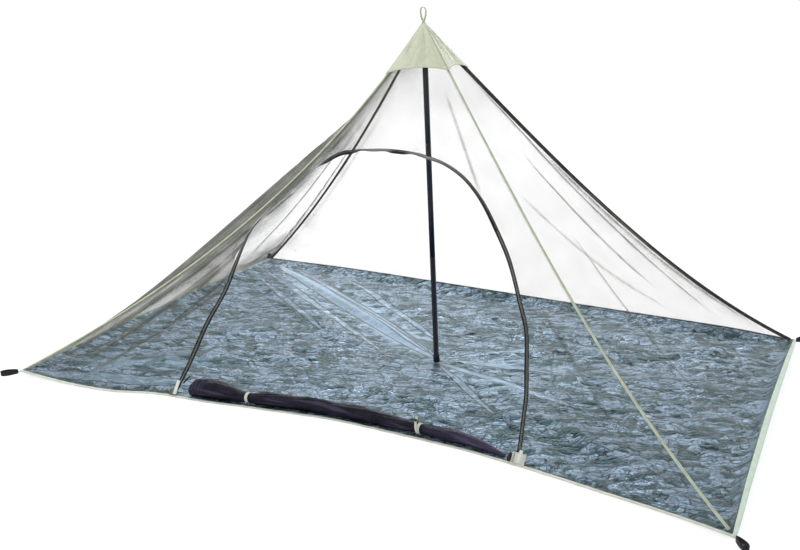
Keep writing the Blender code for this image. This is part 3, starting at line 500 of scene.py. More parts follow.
WALLS = {
    Side.FRONT: Wall(
        side=Side.FRONT, start=Corner.FRONT_LEFT, end=Corner.FRONT_RIGHT, outward=(0, -1),
        hem=table(
            HemRow, (0.0, 0.0, CORNER_HEIGHT), (0.07, 0.003, 0.008), (0.14, 0.017, 0.004),
            (0.22, 0.064, 0.0026), (0.29, 0.078, 0.0022), (0.36, 0.101, 0.0022), (0.5, 0.133, 0.0022),
            (0.64, 0.128, 0.0022), (0.74, 0.107, 0.0026), (0.84, 0.074, 0.004), (0.95, 0.032, 0.008),
            (1.0, 0.0, CORNER_HEIGHT)),
        hem_width=0.0085, edge_rise=0.014, swells=(Swell(0.13, 0.24, 0.14, 0.32, -0.012),),
        creases=table(
            Crease, (-0.9, 0.12, -0.36, 0.8, 0.03, 0.007), (-0.74, 0.1, -0.42, 0.62, 0.03, -0.007),
            (0.8, 0.1, 0.52, 0.45, 0.04, 0.005), (0.4, 0.7, 0.16, 1.0, 0.035, -0.005)),
        pleats=table(
            Crease, (-1.02, 0.03, -0.2, 1.0, 0.01, 0.005), (-0.98, 0.02, -0.3, 0.8, 0.009, -0.004),
            (-0.95, 0.03, -0.44, 0.62, 0.011, 0.005), (-0.9, 0.01, -0.52, 0.44, 0.01, -0.004),
            (-0.62, 0.3, -0.12, 1.06, 0.008, 0.004), (-0.84, 0.16, -0.24, 0.9, 0.008, 0.005),
            (-0.93, 0.12, -0.16, 1.02, 0.008, 0.006), (-0.66, 0.34, -0.3, 0.84, 0.008, 0.006),
            (-0.76, 0.16, -0.34, 0.72, 0.008, -0.004), (-1.04, 0.02, -0.6, 0.5, 0.009, 0.006),
            (0.3, 0.74, 0.1, 1.06, 0.01, 0.003), (0.86, 0.12, 0.5, 0.52, 0.009, 0.003),
            (0.66, 0.08, 0.56, 0.4, 0.009, -0.003)),
        slack=table(Swell, (0.04, 0.64, 0.17, 0.34, 0.78), (0.3, 0.92, 0.25, 0.06, 0.46))),
    Side.RIGHT: Wall(
        side=Side.RIGHT, start=Corner.FRONT_RIGHT, end=Corner.BACK_RIGHT, outward=(1, 0),
        hem=table(
            HemRow, (0.0, 0.0, CORNER_HEIGHT), (0.2, 0.006, 0.026), (0.5, 0.009, 0.03), (0.8, 0.005, 0.027),
            (1.0, 0.0, CORNER_HEIGHT)),
        hem_width=0.017, edge_rise=0.028,
        swells=table(Swell, (0.57, 0.4, 0.5, 0.4, -0.012), (0.9, 0.5, 0.15, 0.3, 0.012)),
        creases=table(
            Crease, (-0.42, 0.12, -0.08, 1.2, 0.035, 0.008), (0.05, 0.1, 0.02, 1.05, 0.04, 0.009),
            (0.44, 0.15, 0.12, 1.15, 0.035, -0.008)),
        pleats=table(
            Crease, (0.36, 0.22, 0.02, 1.42, 0.008, 0.006), (0.18, 0.46, 0.03, 1.1, 0.008, -0.006),
            (-0.2, 0.1, -0.03, 0.84, 0.009, 0.004), (0.52, 0.1, 0.22, 0.95, 0.009, 0.004)),
        slack=(Swell(0.95, 0.55, 0.1, 0.4, 0.12),)),
    Side.BACK: Wall(
        side=Side.BACK, start=Corner.BACK_RIGHT, end=Corner.BACK_LEFT, outward=(0, 1),
        hem=table(
            HemRow, (0.0, 0.0, CORNER_HEIGHT), (0.12, 0.006, 0.027), (0.35, -0.004, 0.022),
            (0.55, 0.004, 0.026), (0.8, -0.004, 0.023), (1.0, 0.0, CORNER_HEIGHT)),
        hem_width=0.0085, edge_rise=0.045,
        swells=table(Swell, (0.5, 0.36, 0.5, 0.4, -0.022), (0.12, 0.5, 0.13, 0.34, 0.022)),
        creases=table(
            Crease, (-0.95, 0.1, -0.1, 1.1, 0.035, 0.01), (-0.62, 0.08, -0.05, 1.05, 0.04, -0.01),
            (-0.2, 0.1, -0.02, 0.9, 0.045, 0.009), (0.3, 0.12, 0.04, 1.0, 0.04, -0.009),
            (0.98, 0.06, 0.16, 1.02, 0.045, 0.014)),
        pleats=table(
            Crease, (1.06, 0.02, 0.2, 0.98, 0.01, 0.002), (-0.98, 0.08, -0.3, 0.86, 0.01, 0.004),
            (-0.7, 0.06, -0.18, 0.7, 0.01, -0.003)),
        slack=table(Swell, (1.0, 0.25, 0.05, 0.4, 0.3), (0.02, 0.5, 0.06, 0.5, 0.3))),
    Side.LEFT: Wall(
        side=Side.LEFT, start=Corner.BACK_LEFT, end=Corner.FRONT_LEFT, outward=(-1, 0),
        hem=table(
            HemRow, (0.0, 0.0, CORNER_HEIGHT), (0.3, -0.006, 0.02), (0.6, -0.01, 0.017),
            (1.0, 0.0, CORNER_HEIGHT)),
        hem_width=0.0085, edge_rise=0.03,
        swells=table(Swell, (0.84, 0.48, 0.13, 0.34, 0.042), (0.4, 0.4, 0.3, 0.35, -0.01)),
        creases=table(Crease, (-0.3, 0.1, -0.06, 1.1, 0.035, 0.008), (0.1, 0.1, 0.05, 1.15, 0.035, -0.008)),
        pleats=table(
            Crease, (-0.58, 0.0, -0.14, 1.08, 0.016, 0.0055), (0.55, 0.1, 0.17, 1.22, 0.008, 0.006),
            (0.43, 0.1, 0.12, 1.14, 0.008, -0.005), (-0.3, 0.16, -0.04, 1.1, 0.009, 0.005),
            (0.48, 0.08, 0.14, 1.2, 0.009, 0.006), (0.38, 0.1, 0.1, 1.1, 0.009, 0.006),
            (0.26, 0.06, 0.05, 1.0, 0.009, -0.005)),
        slack=table(Swell, (0.92, 0.5, 0.48, 1.1, 0.93), (0.04, 0.05, 0.34, 0.17, 0.96)))}


@dataclass(frozen=True)
class Seam:
    """A ridge's points with the directions into and out of both its walls."""

    points: Array
    left_in: Array
    right_in: Array
    left_out: Array
    right_out: Array

    @staticmethod
    def along(corner: Corner, ups: Array) -> "Seam":
        """Work out a ridge's directions from the walls on both its sides.

        Args:
            corner: The ridge's lower end.
            ups: Shares of the way up, rising.

        Returns:
            The seam at those places.
        """
        points = RIDGES[corner].point(ups)
        left_wall = next(wall for wall in WALLS.values() if wall.end == corner)
        right_wall = next(wall for wall in WALLS.values() if wall.start == corner)
        strip = 0.012 / (1 - ups)
        left = left_wall.surface(1 - strip / left_wall.base, ups, False)
        right = right_wall.surface(strip / right_wall.base, ups, False)
        tangents = unit(np.gradient(points, axis=0))
        left_in = square_to(tangents, left - points)
        right_in = square_to(tangents, right - points)
        left_out = unit(np.cross(tangents, left_in))
        right_out = unit(np.cross(right_in, tangents))
        return Seam(points, left_in, right_in, left_out, right_out)

    def offset(self, distance: float) -> Array:
        """The line where both walls, moved outward, meet.

        Args:
            distance: How far they are moved.

        Returns:
            The line's points.
        """
        middle = unit(self.left_out + self.right_out)
        share = np.sum(middle * self.right_out, axis=1, keepdims=True)
        return self.points + middle * distance / share

    def left(self, width: float, height: float) -> Array:
        """Places on the left wall, this far from the ridge and this far out of the wall."""
        return self.points + self.left_in * width + self.left_out * height

    def right(self, width: float, height: float) -> Array:
        """Places on the right wall, this far from the ridge and this far out of the wall."""
        return self.points + self.right_in * width + self.right_out * height

    def folded_rings(self, half_width: float, near: float, far: float) -> Array:
        """Rings round a strip folded over the ridge.

        Args:
            half_width: Its reach on each wall.
            near: The distance from the walls to its inner face.
            far: The distance to its outer face.

        Returns:
            The rings' points.
        """
        middle = (near + far) / 2
        lip = half_width + abs(far - near) * 0.35
        half = half_width * 0.5
        rings = (
            self.left(half_width, far), self.left(half, far), self.offset(far), self.right(half, far),
            self.right(half_width, far), self.right(lip, middle), self.right(half_width, near),
            self.right(half, near), self.offset(near), self.left(half, near), self.left(half_width, near),
            self.left(lip, middle))
        return np.stack(rings, axis=1)


@dataclass(frozen=True)
class ArchRow:
    """A point of the doorway's edge, from the middle of the front wall's hem."""

    across: float
    up: float


@dataclass(frozen=True)
class Doorway:
    """The arched opening of the front wall."""

    points: int = 400
    crown_share: float = 0.44
    rows: tuple[ArchRow, ...] = table(
        ArchRow, (-0.58, 0.0), (-0.578, 0.13), (-0.57, 0.256), (-0.547, 0.385), (-0.53, 0.508),
        (-0.508, 0.606), (-0.451, 0.69), (-0.386, 0.754), (-0.302, 0.842), (-0.229, 0.876), (-0.11, 0.881),
        (0.006, 0.873), (0.117, 0.852), (0.207, 0.818), (0.289, 0.759), (0.359, 0.681), (0.418, 0.597),
        (0.463, 0.5), (0.502, 0.403), (0.516, 0.3), (0.526, 0.2), (0.525, 0.0))

    def curve(self) -> Array:
        """Points closely spaced along the edge, as distances across and up the wall."""
        return soft_line([(row.across, row.up) for row in self.rows], self.points)

    def at(self, shares: Array) -> Array:
        """Distances across and up the wall at shares of the edge's length."""
        return columns_at(shares, evenly(self.points), self.curve())

    def leg_shares(self, side: int, ups: Array) -> Array:
        """Places on the edge that lie square to a front ridge's places.

        Args:
            side: Which ridge, -1 or 1.
            ups: Shares of the way up it.

        Returns:
            Shares of the edge, from its foot.
        """
        wall = WALLS[Side.FRONT]
        leg = self.curve()[::-side][: int(self.crown_share * self.points)]
        foot = np.array((side * TENT_LENGTH / 2, 0.0))
        slope = np.array((-side * TENT_LENGTH / 2, wall.slant))
        shares = evenly(len(leg))
        square = (leg - foot) @ slope / (slope @ slope)
        reached = square - square[0] * (1 - shares) ** 2 + (NET_TOP - square[-1]) * shares**6
        return np.interp(ups, reached, self.crown_share * shares)

    def wall_places(self, ridge_rows: int, crown: int, columns: int) -> tuple[Array, ...]:
        """Lay a grid over the front wall, from its ridges and top in to the doorway.

        Args:
            ridge_rows: Rows that start on each ridge.
            crown: Rows that start between the ridges, under the cap.
            columns: Steps from the rim to the doorway.

        Returns:
            The grid's shares along the wall and up its ridges.
        """
        wall = WALLS[Side.FRONT]
        ups = np.linspace(0.0, NET_TOP, ridge_rows)
        tops = np.arange(1, crown) / crown
        along = np.concatenate((np.zeros(ridge_rows), tops, np.ones(ridge_rows)))
        up = np.concatenate((ups, np.full(crown - 1, NET_TOP), ups[::-1]))
        middle = self.crown_share + (1 - 2 * self.crown_share) * tops
        shares = np.concatenate((self.leg_shares(-1, ups), middle, 1 - self.leg_shares(1, ups)[::-1]))
        inner = self.at(shares)
        outer_flat = (along - 0.5) * (1 - up)
        steps = evenly(columns + 1)[None, :]
        flat = outer_flat[:, None] * (1 - steps) + inner[:, :1] / TENT_LENGTH * steps
        height = up[:, None] * (1 - steps) + inner[:, 1:] / wall.slant * steps
        return 0.5 + flat / (1 - height), height

    def edge(self, shares: Array) -> tuple[Array, Array, Array, Array]:
        """The doorway's edge in space.

        Args:
            shares: Places as shares of the edge's length.

        Returns:
            Points, tangents, directions into the doorway and directions out of the wall.
        """
        wall = WALLS[Side.FRONT]
        flat = self.at(shares)
        step = np.gradient(flat, axis=0)
        aside = unit(np.column_stack((step[:, 1], -step[:, 0]))) * 0.02

        def place(where: Array) -> Array:
            """The wall's points at distances across and up it."""
            height = where[:, 1] / wall.slant
            return wall.surface(0.5 + where[:, 0] / (TENT_LENGTH * (1 - height)), height, False)

        points = place(flat)
        tangents = unit(np.gradient(points, axis=0))
        inward = square_to(tangents, points - place(flat - aside))
        return points, tangents, inward, np.cross(inward, tangents)

    def frame(self, across: float, up: float) -> tuple[Array, ...]:
        """Lay axes on the front wall.

        Args:
            across: Distance from the hem's middle.
            up: Distance up the slope.

        Returns:
            The point there, and its level, rising and outward directions.
        """
        wall = WALLS[Side.FRONT]

        def at(aside: float, more: float) -> Array:
            """Move a little over the wall.

            Args:
                aside: The way across.
                more: The way up.

            Returns:
                The wall's point there.
            """
            height = (up + more) / wall.slant
            along = 0.5 + (across + aside) / (TENT_LENGTH * (1 - height))
            return wall.surface(np.array(along), np.array(height), False)

        point = at(0.0, 0.0)
        level = unit(at(0.004, 0.0) - at(-0.004, 0.0))
        rise = at(0.0, 0.004) - point
        rise = unit(rise - level * (rise @ level))
        return point, level, rise, np.cross(level, rise)


# ---- meshes


def link(name: str, data: bpy.types.ID) -> Piece:
    """Put new data into the scene.

    Args:
        name: The object's name.
        data: Its mesh, lamp or camera.

    Returns:
        The object, at the origin.
    """
    item = bpy.data.objects.new(name, data)
    bpy.context.scene.collection.objects.link(item)
    return item


def add_object(
    name: str, points: Array, faces: Sequence[Sequence[int]], material: Material,
    corner_uv: Optional[Array] = None, marks: Marks = None, facing: bool = False
) -> Piece:
    """Make a smooth mesh object at the origin.

    Args:
        name: The piece's name.
        points: Its vertices.
        faces: Vertex numbers of each face.
        material: Its material.
        corner_uv: A place in the cloth for each face corner, in metres.
        marks: Values for each vertex, by attribute name.
        facing: Whether a closed shape's faces still have to be turned outward.

    Returns:
        The new object, linked to the scene.
    """
    mesh = bpy.data.meshes.new(name)
    mesh.from_pydata(np.asarray(points, float).tolist(), [], [list(face) for face in faces])
    mesh.materials.append(material)
    if corner_uv is not None:
        layer = mesh.uv_layers.new(name="Cloth")
        flat = np.zeros((len(mesh.loops), 2), np.float32)
        flat[: len(corner_uv)] = corner_uv
        layer.data.foreach_set("uv", flat.ravel())
    for key, values in (marks or {}).items():
        mesh.attributes.new(key, "FLOAT", "POINT").data.foreach_set(
            "value", np.asarray(values, np.float32).ravel())
    if facing:
        shape = bmesh.new()
        shape.from_mesh(mesh)
        bmesh.ops.recalc_face_normals(shape, faces=shape.faces)
        shape.to_mesh(mesh)
        shape.free()
    mesh.shade_smooth()
    mesh.validate()
    mesh.update()
    return link(name, mesh)


def grid_quads(rows: int, columns: int) -> Array:
    """Number a grid's quads, row by row.

    Args:
        rows: Points one way.
        columns: Points the other way.

    Returns:
        Four vertex numbers for each quad.
    """
    base = np.arange(rows - 1)[:, None] * columns + np.arange(columns - 1)[None, :]
    corners = np.stack((base, base + 1, base + columns + 1, base + columns), axis=-1)
    return corners.reshape(-1, 4)


def grid_normals(grid: Array) -> Array:
    """Directions square to a grid's surface, to the left of its rows' run."""
    return unit(np.cross(np.gradient(grid, axis=1), np.gradient(grid, axis=0)))


def add_sheet(
    name: str, grid: Array, uv: Array, thickness: float, material: Material, outward: Array,
    marks: Marks = None
) -> Piece:
    """Make a thin closed sheet about a grid of points.

    Args:
        name: The piece's name.
        grid: Its middle surface, rows by columns.
        uv: The place of each grid point in the flat cloth, in metres.
        thickness: The cloth's thickness.
        material: Its material.
        outward: A direction on the side that the first face layer looks to.
        marks: Values for each grid point, by attribute name.

    Returns:
        The sheet's object.
    """
    rows, columns = grid.shape[:2]
    normals = grid_normals(grid)
    quads = grid_quads(rows, columns)
    if np.sum(normals * outward) < 0:
        normals = -normals
        quads = quads[:, ::-1]
    count = rows * columns
    points = np.concatenate(
        ((grid + normals * thickness / 2).reshape(-1, 3), (grid - normals * thickness / 2).reshape(-1, 3)))
    number = np.arange(count).reshape(rows, columns)
    rim = np.concatenate((number[0, :-1], number[:-1, -1], number[-1, :0:-1], number[:0:-1, 0]))
    after = np.roll(rim, -1)
    if np.any(np.all(quads[:, :2] == (rim[0], after[0]), axis=1)):
        rim, after = after, rim
    sides = np.stack((rim, after, after + count, rim + count), axis=-1)
    faces = np.concatenate((quads, quads[:, ::-1] + count, sides))
    flat_uv = np.concatenate((uv.reshape(-1, 2), uv.reshape(-1, 2)))
    doubled = {key: np.tile(values.reshape(-1), 2) for key, values in (marks or {}).items()}
    return add_object(name, points, faces, material, flat_uv[faces].reshape(-1, 2), doubled)


def add_loft(
    name: str, rings: Array, material: Material, marks: Marks = None, closed: bool = False
) -> Piece:
    """Make a closed bar or, when its last ring meets its first, a closed band.

    Args:
        name: The piece's name.
        rings: Points round the bar, ring by ring.
        material: Its material.
        marks: A value for each ring, by attribute name.
        closed: Whether the last ring leads on to the first.

    Returns:
        The bar's object, with its length and girth as its place in the cloth.
    """
    rings = np.asarray(rings, float)
    count, sides = rings.shape[:2]
    around = np.concatenate((rings, rings[:, :1]), axis=1)
    girth = np.concatenate(
        (np.zeros((count, 1)), np.cumsum(np.linalg.norm(np.diff(around, axis=1), axis=2), axis=1)), axis=1)
    middle = rings.mean(axis=1)
    length = run_lengths(np.concatenate((middle, middle[:1])))
    flat = np.stack((np.tile(length[:, None], sides + 1), np.concatenate((girth, girth[:1]))), axis=-1)
    uv = np.stack((flat[:-1, :-1], flat[:-1, 1:], flat[1:, 1:], flat[1:, :-1]), axis=2)
    first = np.arange(count * sides).reshape(count, sides)
    after = np.roll(first, -1, axis=0)
    quads = np.stack((first, np.roll(first, -1, axis=1), np.roll(after, -1, axis=1), after), axis=-1)
    steps = count if closed else count - 1
    faces = quads[:steps].reshape(-1, 4).tolist()
    if not closed:
        faces += [first[0], first[-1]]
    spread = {}
    for key, values in (marks or {}).items():
        spread[key] = np.broadcast_to(values.reshape(count, -1), (count, sides))
    return add_object(
        name, rings.reshape(-1, 3), faces, material, uv[:steps].reshape(-1, 2), spread, facing=True)


def add_tube(name: str, line: Array, radius: float, material: Material, sides: int = 8) -> Piece:
    """Make a round cord of thread or piping.

    Args:
        name: The piece's name.
        line: Its middle line.
        radius: Its radius.
        material: Its material.
        sides: Its faces round.

    Returns:
        The cord's object.
    """
    tangents = unit(np.gradient(line, axis=0))
    aside = unit(np.cross(tangents, np.array((0.13, 0.29, 0.95))))
    other = np.cross(tangents, aside)
    rings = [line + radius * (aside * math.cos(turn) + other * math.sin(turn)) for turn in full_turn(sides)]
    return add_loft(name, np.stack(rings, axis=1), material)


def add_ribbon(
    name: str, line: Array, across: Array, width: float, thickness: float, material: Material,
    marks: Marks = None
) -> Piece:
    """Make a flat tape along a line, with softly rounded selvedges.

    Args:
        name: The piece's name.
        line: The tape's middle line.
        across: The direction of its width, one for all or one for each point.
        width: Its width.
        thickness: Its thickness.
        material: Its material.
        marks: A value for each point of the line, by attribute name.

    Returns:
        The tape's object.
    """
    tangents = unit(np.gradient(line, axis=0))
    across = square_to(tangents, across)
    out = np.cross(tangents, across)
    half = thickness / 2
    profile = (
        (-1.0, 0.0), (-0.94, -half), (-0.4, -half), (0.4, -half), (0.94, -half), (1.0, 0.0), (0.94, half),
        (0.4, half), (-0.4, half), (-0.94, half))
    rings = [line + across * aside * width / 2 + out * height for aside, height in profile]
    return add_loft(name, np.stack(rings, axis=1), material, marks)


# ---- nodes


class Sketch:
    """Adds nodes to a tree in short steps."""

    def __init__(self, tree: NodeTree) -> None:
        """Work on this tree."""
        self.tree = tree

    def node(self, kind: str, **inputs: object) -> Node:
        """Add a node, with inputs given by name as values or as sockets to link.

        Args:
            kind: The node's type name.
            inputs: Values or sockets, with underscores for the spaces in a name.

        Returns:
            The new node.
        """
        node = self.tree.nodes.new(kind)
        self.fill(node.inputs, **inputs)
        return node

    def feed(self, socket: Socket, value: object) -> None:
        """Link a socket to another, or give it a plain value.

        Args:
            socket: The input.
            value: A socket or a value.
        """
        if isinstance(value, Socket):
            self.tree.links.new(value, socket)
        else:
            socket.default_value = value

    def fill(self, sockets: Sockets, **inputs: object) -> None:
        """Feed several sockets."""
        for key, value in inputs.items():
            self.feed(sockets[key.replace("_", " ")], value)

    def mark(self, name: str) -> Socket:
        """Read a value that the mesh carries.

        Args:
            name: Its name.

        Returns:
            The value.
        """
        node = self.node("ShaderNodeAttribute")
        node.attribute_name = name
        return node.outputs["Fac"]

    def maths(self, operation: str, first: object, second: object = 0.0, third: object = 0.0) -> Socket:
        """Add a Math node.

        Args:
            operation: What it does.
            first: Its first input.
            second: Its second input.
            third: Its third input.

        Returns:
            Its value.
        """
        node = self.tree.nodes.new("ShaderNodeMath")
        node.operation = operation
        for socket, value in zip(node.inputs, (first, second, third)):
            self.feed(socket, value)
        return node.outputs[0]

    def vectors(self, operation: str, first: object, second: object, output: str = "Vector") -> Socket:
        """Add a Vector Math node.

        Args:
            operation: What it does.
            first: Its first input.
            second: Its second input.
            output: The output wanted.

        Returns:
            That output.
        """
        node = self.tree.nodes.new("ShaderNodeVectorMath")
        node.operation = operation
        for socket, value in zip(node.inputs, (first, second)):
            self.feed(socket, value)
        return node.outputs[output]

    def times(self, first: object, second: object) -> Socket:
        """The product of two values."""
        return self.maths("MULTIPLY", first, second)

    def most(self, first: object, second: object) -> Socket:
        """The larger of two values."""
        return self.maths("MAXIMUM", first, second)

    def scaled(self, colour: object, shade: object) -> Socket:
        """A colour made darker or lighter.

        Args:
            colour: The colour.
            shade: How much of it stays.

        Returns:
            The result.
        """
        node = self.node("ShaderNodeVectorMath")
        node.operation = "SCALE"
        self.feed(node.inputs[0], colour)
        self.feed(node.inputs["Scale"], shade)
        return node.outputs[0]

    def blend(self, share: object, first: object, second: object) -> Socket:
        """Mix two colours.

        Args:
            share: The share of the second.
            first: The first colour.
            second: The second colour.

        Returns:
            The mixed colour.
        """
        node = self.tree.nodes.new("ShaderNodeMix")
        node.data_type = "RGBA"
        self.feed(node.inputs[0], share)
        self.feed(node.inputs[6], first)
        self.feed(node.inputs[7], second)
        return node.outputs[2]

    def between(
        self, value: object, low: object, high: object, start: float = 0.0, end: float = 1.0
    ) -> Socket:
        """Map a value softly from one span to another, and keep it inside.

        Args:
            value: The value.
            low: Where the first span starts.
            high: Where it ends.
            start: The result at its start.
            end: The result at its end.

        Returns:
            The result.
        """
        node = self.tree.nodes.new("ShaderNodeMapRange")
        node.interpolation_type = "SMOOTHSTEP"
        for socket, given in zip(node.inputs, (value, low, high, start, end)):
            self.feed(socket, given)
        return node.outputs[0]

    def noise(self, vector: object, scale: object, detail: float = 2.0) -> Socket:
        """Add smooth noise and return its value."""
        return self.node("ShaderNodeTexNoise", Vector=vector, Scale=scale, Detail=detail).outputs["Fac"]

    def cells(self, vector: object, scale: object, feature: str) -> Node:
        """Add a flat pattern of random cells.

        Args:
            vector: Places.
            scale: Cells to the metre.
            feature: What is measured of them.

        Returns:
            The node.
        """
        node = self.node("ShaderNodeTexVoronoi", Vector=vector, Scale=scale)
        node.voronoi_dimensions = "2D"
        node.feature = feature
        return node

    def waves(self, vector: object, turn: float, pitch: object) -> Socket:
        """Run a cosine wave over a flat cloth.

        Args:
            vector: Places in the cloth.
            turn: The angle it runs at.
            pitch: From crest to crest.

        Returns:
            The wave, -1 to 1.
        """
        turned = self.node("ShaderNodeVectorRotate", Vector=vector, Angle=turn).outputs[0]
        run = self.node("ShaderNodeSeparateXYZ", Vector=turned).outputs[0]
        phase = self.maths("DIVIDE", self.times(run, 2 * math.pi), pitch)
        return self.maths("COSINE", phase)


# ---- repeated small pieces


class Unit(Enum):
    """The small piece that a line of repeats is made of."""

    STITCH = "stitch"
    COIL_TURN = "coil_turn"


@dataclass(frozen=True)
class Places:
    """Where repeats stand, with the direction of their run and of their outer face."""

    points: Array
    runs: Array
    outs: Array

    @staticmethod
    def along(line: Array, outs: Array, pitch: float) -> "Places":
        """Space places evenly along a line.

        Args:
            line: The line's points.
            outs: The outward direction, one for all or one for each of them.
            pitch: The distance from one repeat to the next.

        Returns:
            The places.
        """
        length = run_lengths(line)
        count = max(2, int(length[-1] / pitch))
        stations = (np.arange(count) + 0.5) * length[-1] / count

        def read(values: Array) -> Array:
            """Values of the line's points at the places."""
            return columns_at(stations, length, values)

        outs = np.broadcast_to(outs, line.shape)
        return Places(read(line), unit(read(np.gradient(line, axis=0))), unit(read(outs)))

    def joined(self, other: "Places") -> "Places":
        """Add the places of another line.

        Args:
            other: The other line's places.

        Returns:
            All the places.
        """
        return Places(
            np.concatenate((self.points, other.points)), np.concatenate((self.runs, other.runs)),
            np.concatenate((self.outs, other.outs)))


@dataclass(frozen=True)
class RepeatTree:
    """A Geometry Nodes tree that sets one small piece on every place of a line."""

    kind: Unit

    def build(self) -> NodeTree:
        """Build the tree, with named inputs for the small piece's sizes and its material.

        Returns:
            The tree.
        """
        tree = bpy.data.node_groups.new(f"repeat_{self.kind.value}", "GeometryNodeTree")
        face = tree.interface
        face.new_socket("Geometry", in_out="INPUT", socket_type="NodeSocketGeometry")
        for label in ("Length", "Width", "Height"):
            face.new_socket(label, in_out="INPUT", socket_type="NodeSocketFloat")
        face.new_socket("Material", in_out="INPUT", socket_type="NodeSocketMaterial")
        face.new_socket("Geometry", in_out="OUTPUT", socket_type="NodeSocketGeometry")
        sketch = Sketch(tree)
        given = tree.nodes.new("NodeGroupInput").outputs
        sizes = dict(zip("XYZ", (given["Length"], given["Width"], given["Height"])))
        size = sketch.node("ShaderNodeCombineXYZ", **sizes)
        piece = sketch.node(
            "GeometryNodeTransform", Geometry=self.unit_piece(sketch), Scale=size.outputs[0])
        made = sketch.node(
            "GeometryNodeInstanceOnPoints", Points=given["Geometry"], Instance=piece.outputs[0],
            Rotation=self.facing(sketch))
        for kind in (
            "GeometryNodeRealizeInstances", "GeometryNodeSetShadeSmooth", "GeometryNodeSetMaterial"):
            made = sketch.node(kind, Geometry=made.outputs[0])
        sketch.fill(made.inputs, Material=given["Material"])
        sketch.feed(tree.nodes.new("NodeGroupOutput").inputs[0], made.outputs[0])
        return tree

    def unit_piece(self, sketch: Sketch) -> Socket:
        """Make a piece one unit long, wide and high.

        Args:
            sketch: The tree's sketch.

        Returns:
            The socket with its geometry.
        """
        if self.kind is Unit.STITCH:
            return sketch.node("GeometryNodeMeshIcoSphere", Radius=0.5, Subdivisions=1).outputs["Mesh"]
        kind = "GeometryNodeCurvePrimitiveCircle"
        ring = sketch.node(kind, Resolution=8, Radius=0.42).outputs["Curve"]
        thread = sketch.node(kind, Resolution=4, Radius=0.16).outputs["Curve"]
        swept = sketch.node("GeometryNodeCurveToMesh", Curve=ring, Profile_Curve=thread).outputs["Mesh"]
        lean = (0.0, math.radians(78.0), 0.0)
        return sketch.node("GeometryNodeTransform", Geometry=swept, Rotation=lean).outputs["Geometry"]

    def facing(self, sketch: Sketch) -> Socket:
        """Turn a piece's X along the run and its Z outward.

        Args:
            sketch: The tree's sketch.

        Returns:
            The socket with the rotation.
        """
        turns = {}
        for axis, pivot, label in (("X", "AUTO", "run"), ("Z", "X", "out")):
            named = sketch.node("GeometryNodeInputNamedAttribute")
            named.data_type = "FLOAT_VECTOR"
            named.inputs["Name"].default_value = label
            align = sketch.node(
                "FunctionNodeAlignRotationToVector", Vector=named.outputs["Attribute"], **turns)
            align.axis = axis
            align.pivot_axis = pivot
            turns = {"Rotation": align.outputs["Rotation"]}
        return turns["Rotation"]


class Repeater:
    """Turns lines of places into finished meshes of repeated small pieces."""

    def __init__(self) -> None:
        """Build each kind's tree once."""
        self.trees = {kind: RepeatTree(kind).build() for kind in Unit}

    def make(self, name: str, kind: Unit, places: Places, size: Triple, material: Material) -> Piece:
        """Set a small piece on every place and return them as one plain mesh.

        Args:
            name: The finished piece's name.
            kind: The small piece.
            places: Where the small pieces stand.
            size: Their length, width and height.
            material: Their material.

        Returns:
            The finished object, at the origin.
        """
        seeds = bpy.data.meshes.new(f"{name}_places")
        seeds.from_pydata(places.points.tolist(), [], [])
        for label, values in (("run", places.runs), ("out", places.outs)):
            layer = seeds.attributes.new(label, "FLOAT_VECTOR", "POINT")
            layer.data.foreach_set("vector", values.astype(np.float32).ravel())
        carrier = link(f"{name}_carrier", seeds)
        modifier = carrier.modifiers.new("Repeat", "NODES")
        modifier.node_group = self.trees[kind]
        inputs = dict(zip(("Length", "Width", "Height"), size)) | {"Material": material}
        for item in self.trees[kind].interface.items_tree:
            if item.in_out == "INPUT" and item.name in inputs:
                modifier[item.identifier] = inputs[item.name]
        carrier.update_tag()
        graph = bpy.context.evaluated_depsgraph_get()
        mesh = bpy.data.meshes.new_from_object(carrier.evaluated_get(graph), depsgraph=graph)
        mesh.name = name
        carrier.modifiers.remove(modifier)
        bpy.data.objects.remove(carrier, do_unlink=True)
        return link(name, mesh)


# ---- shader nodes


class Effect(Enum):
    """A surface effect that several finishes share."""

    NET_THREADS = "net_threads"
    WEAVE = "weave"
    FINE_CRINKLE = "fine_crinkle"
    SOFT_VARIATION = "soft_variation"
    FOLD_BAND = "fold_band"


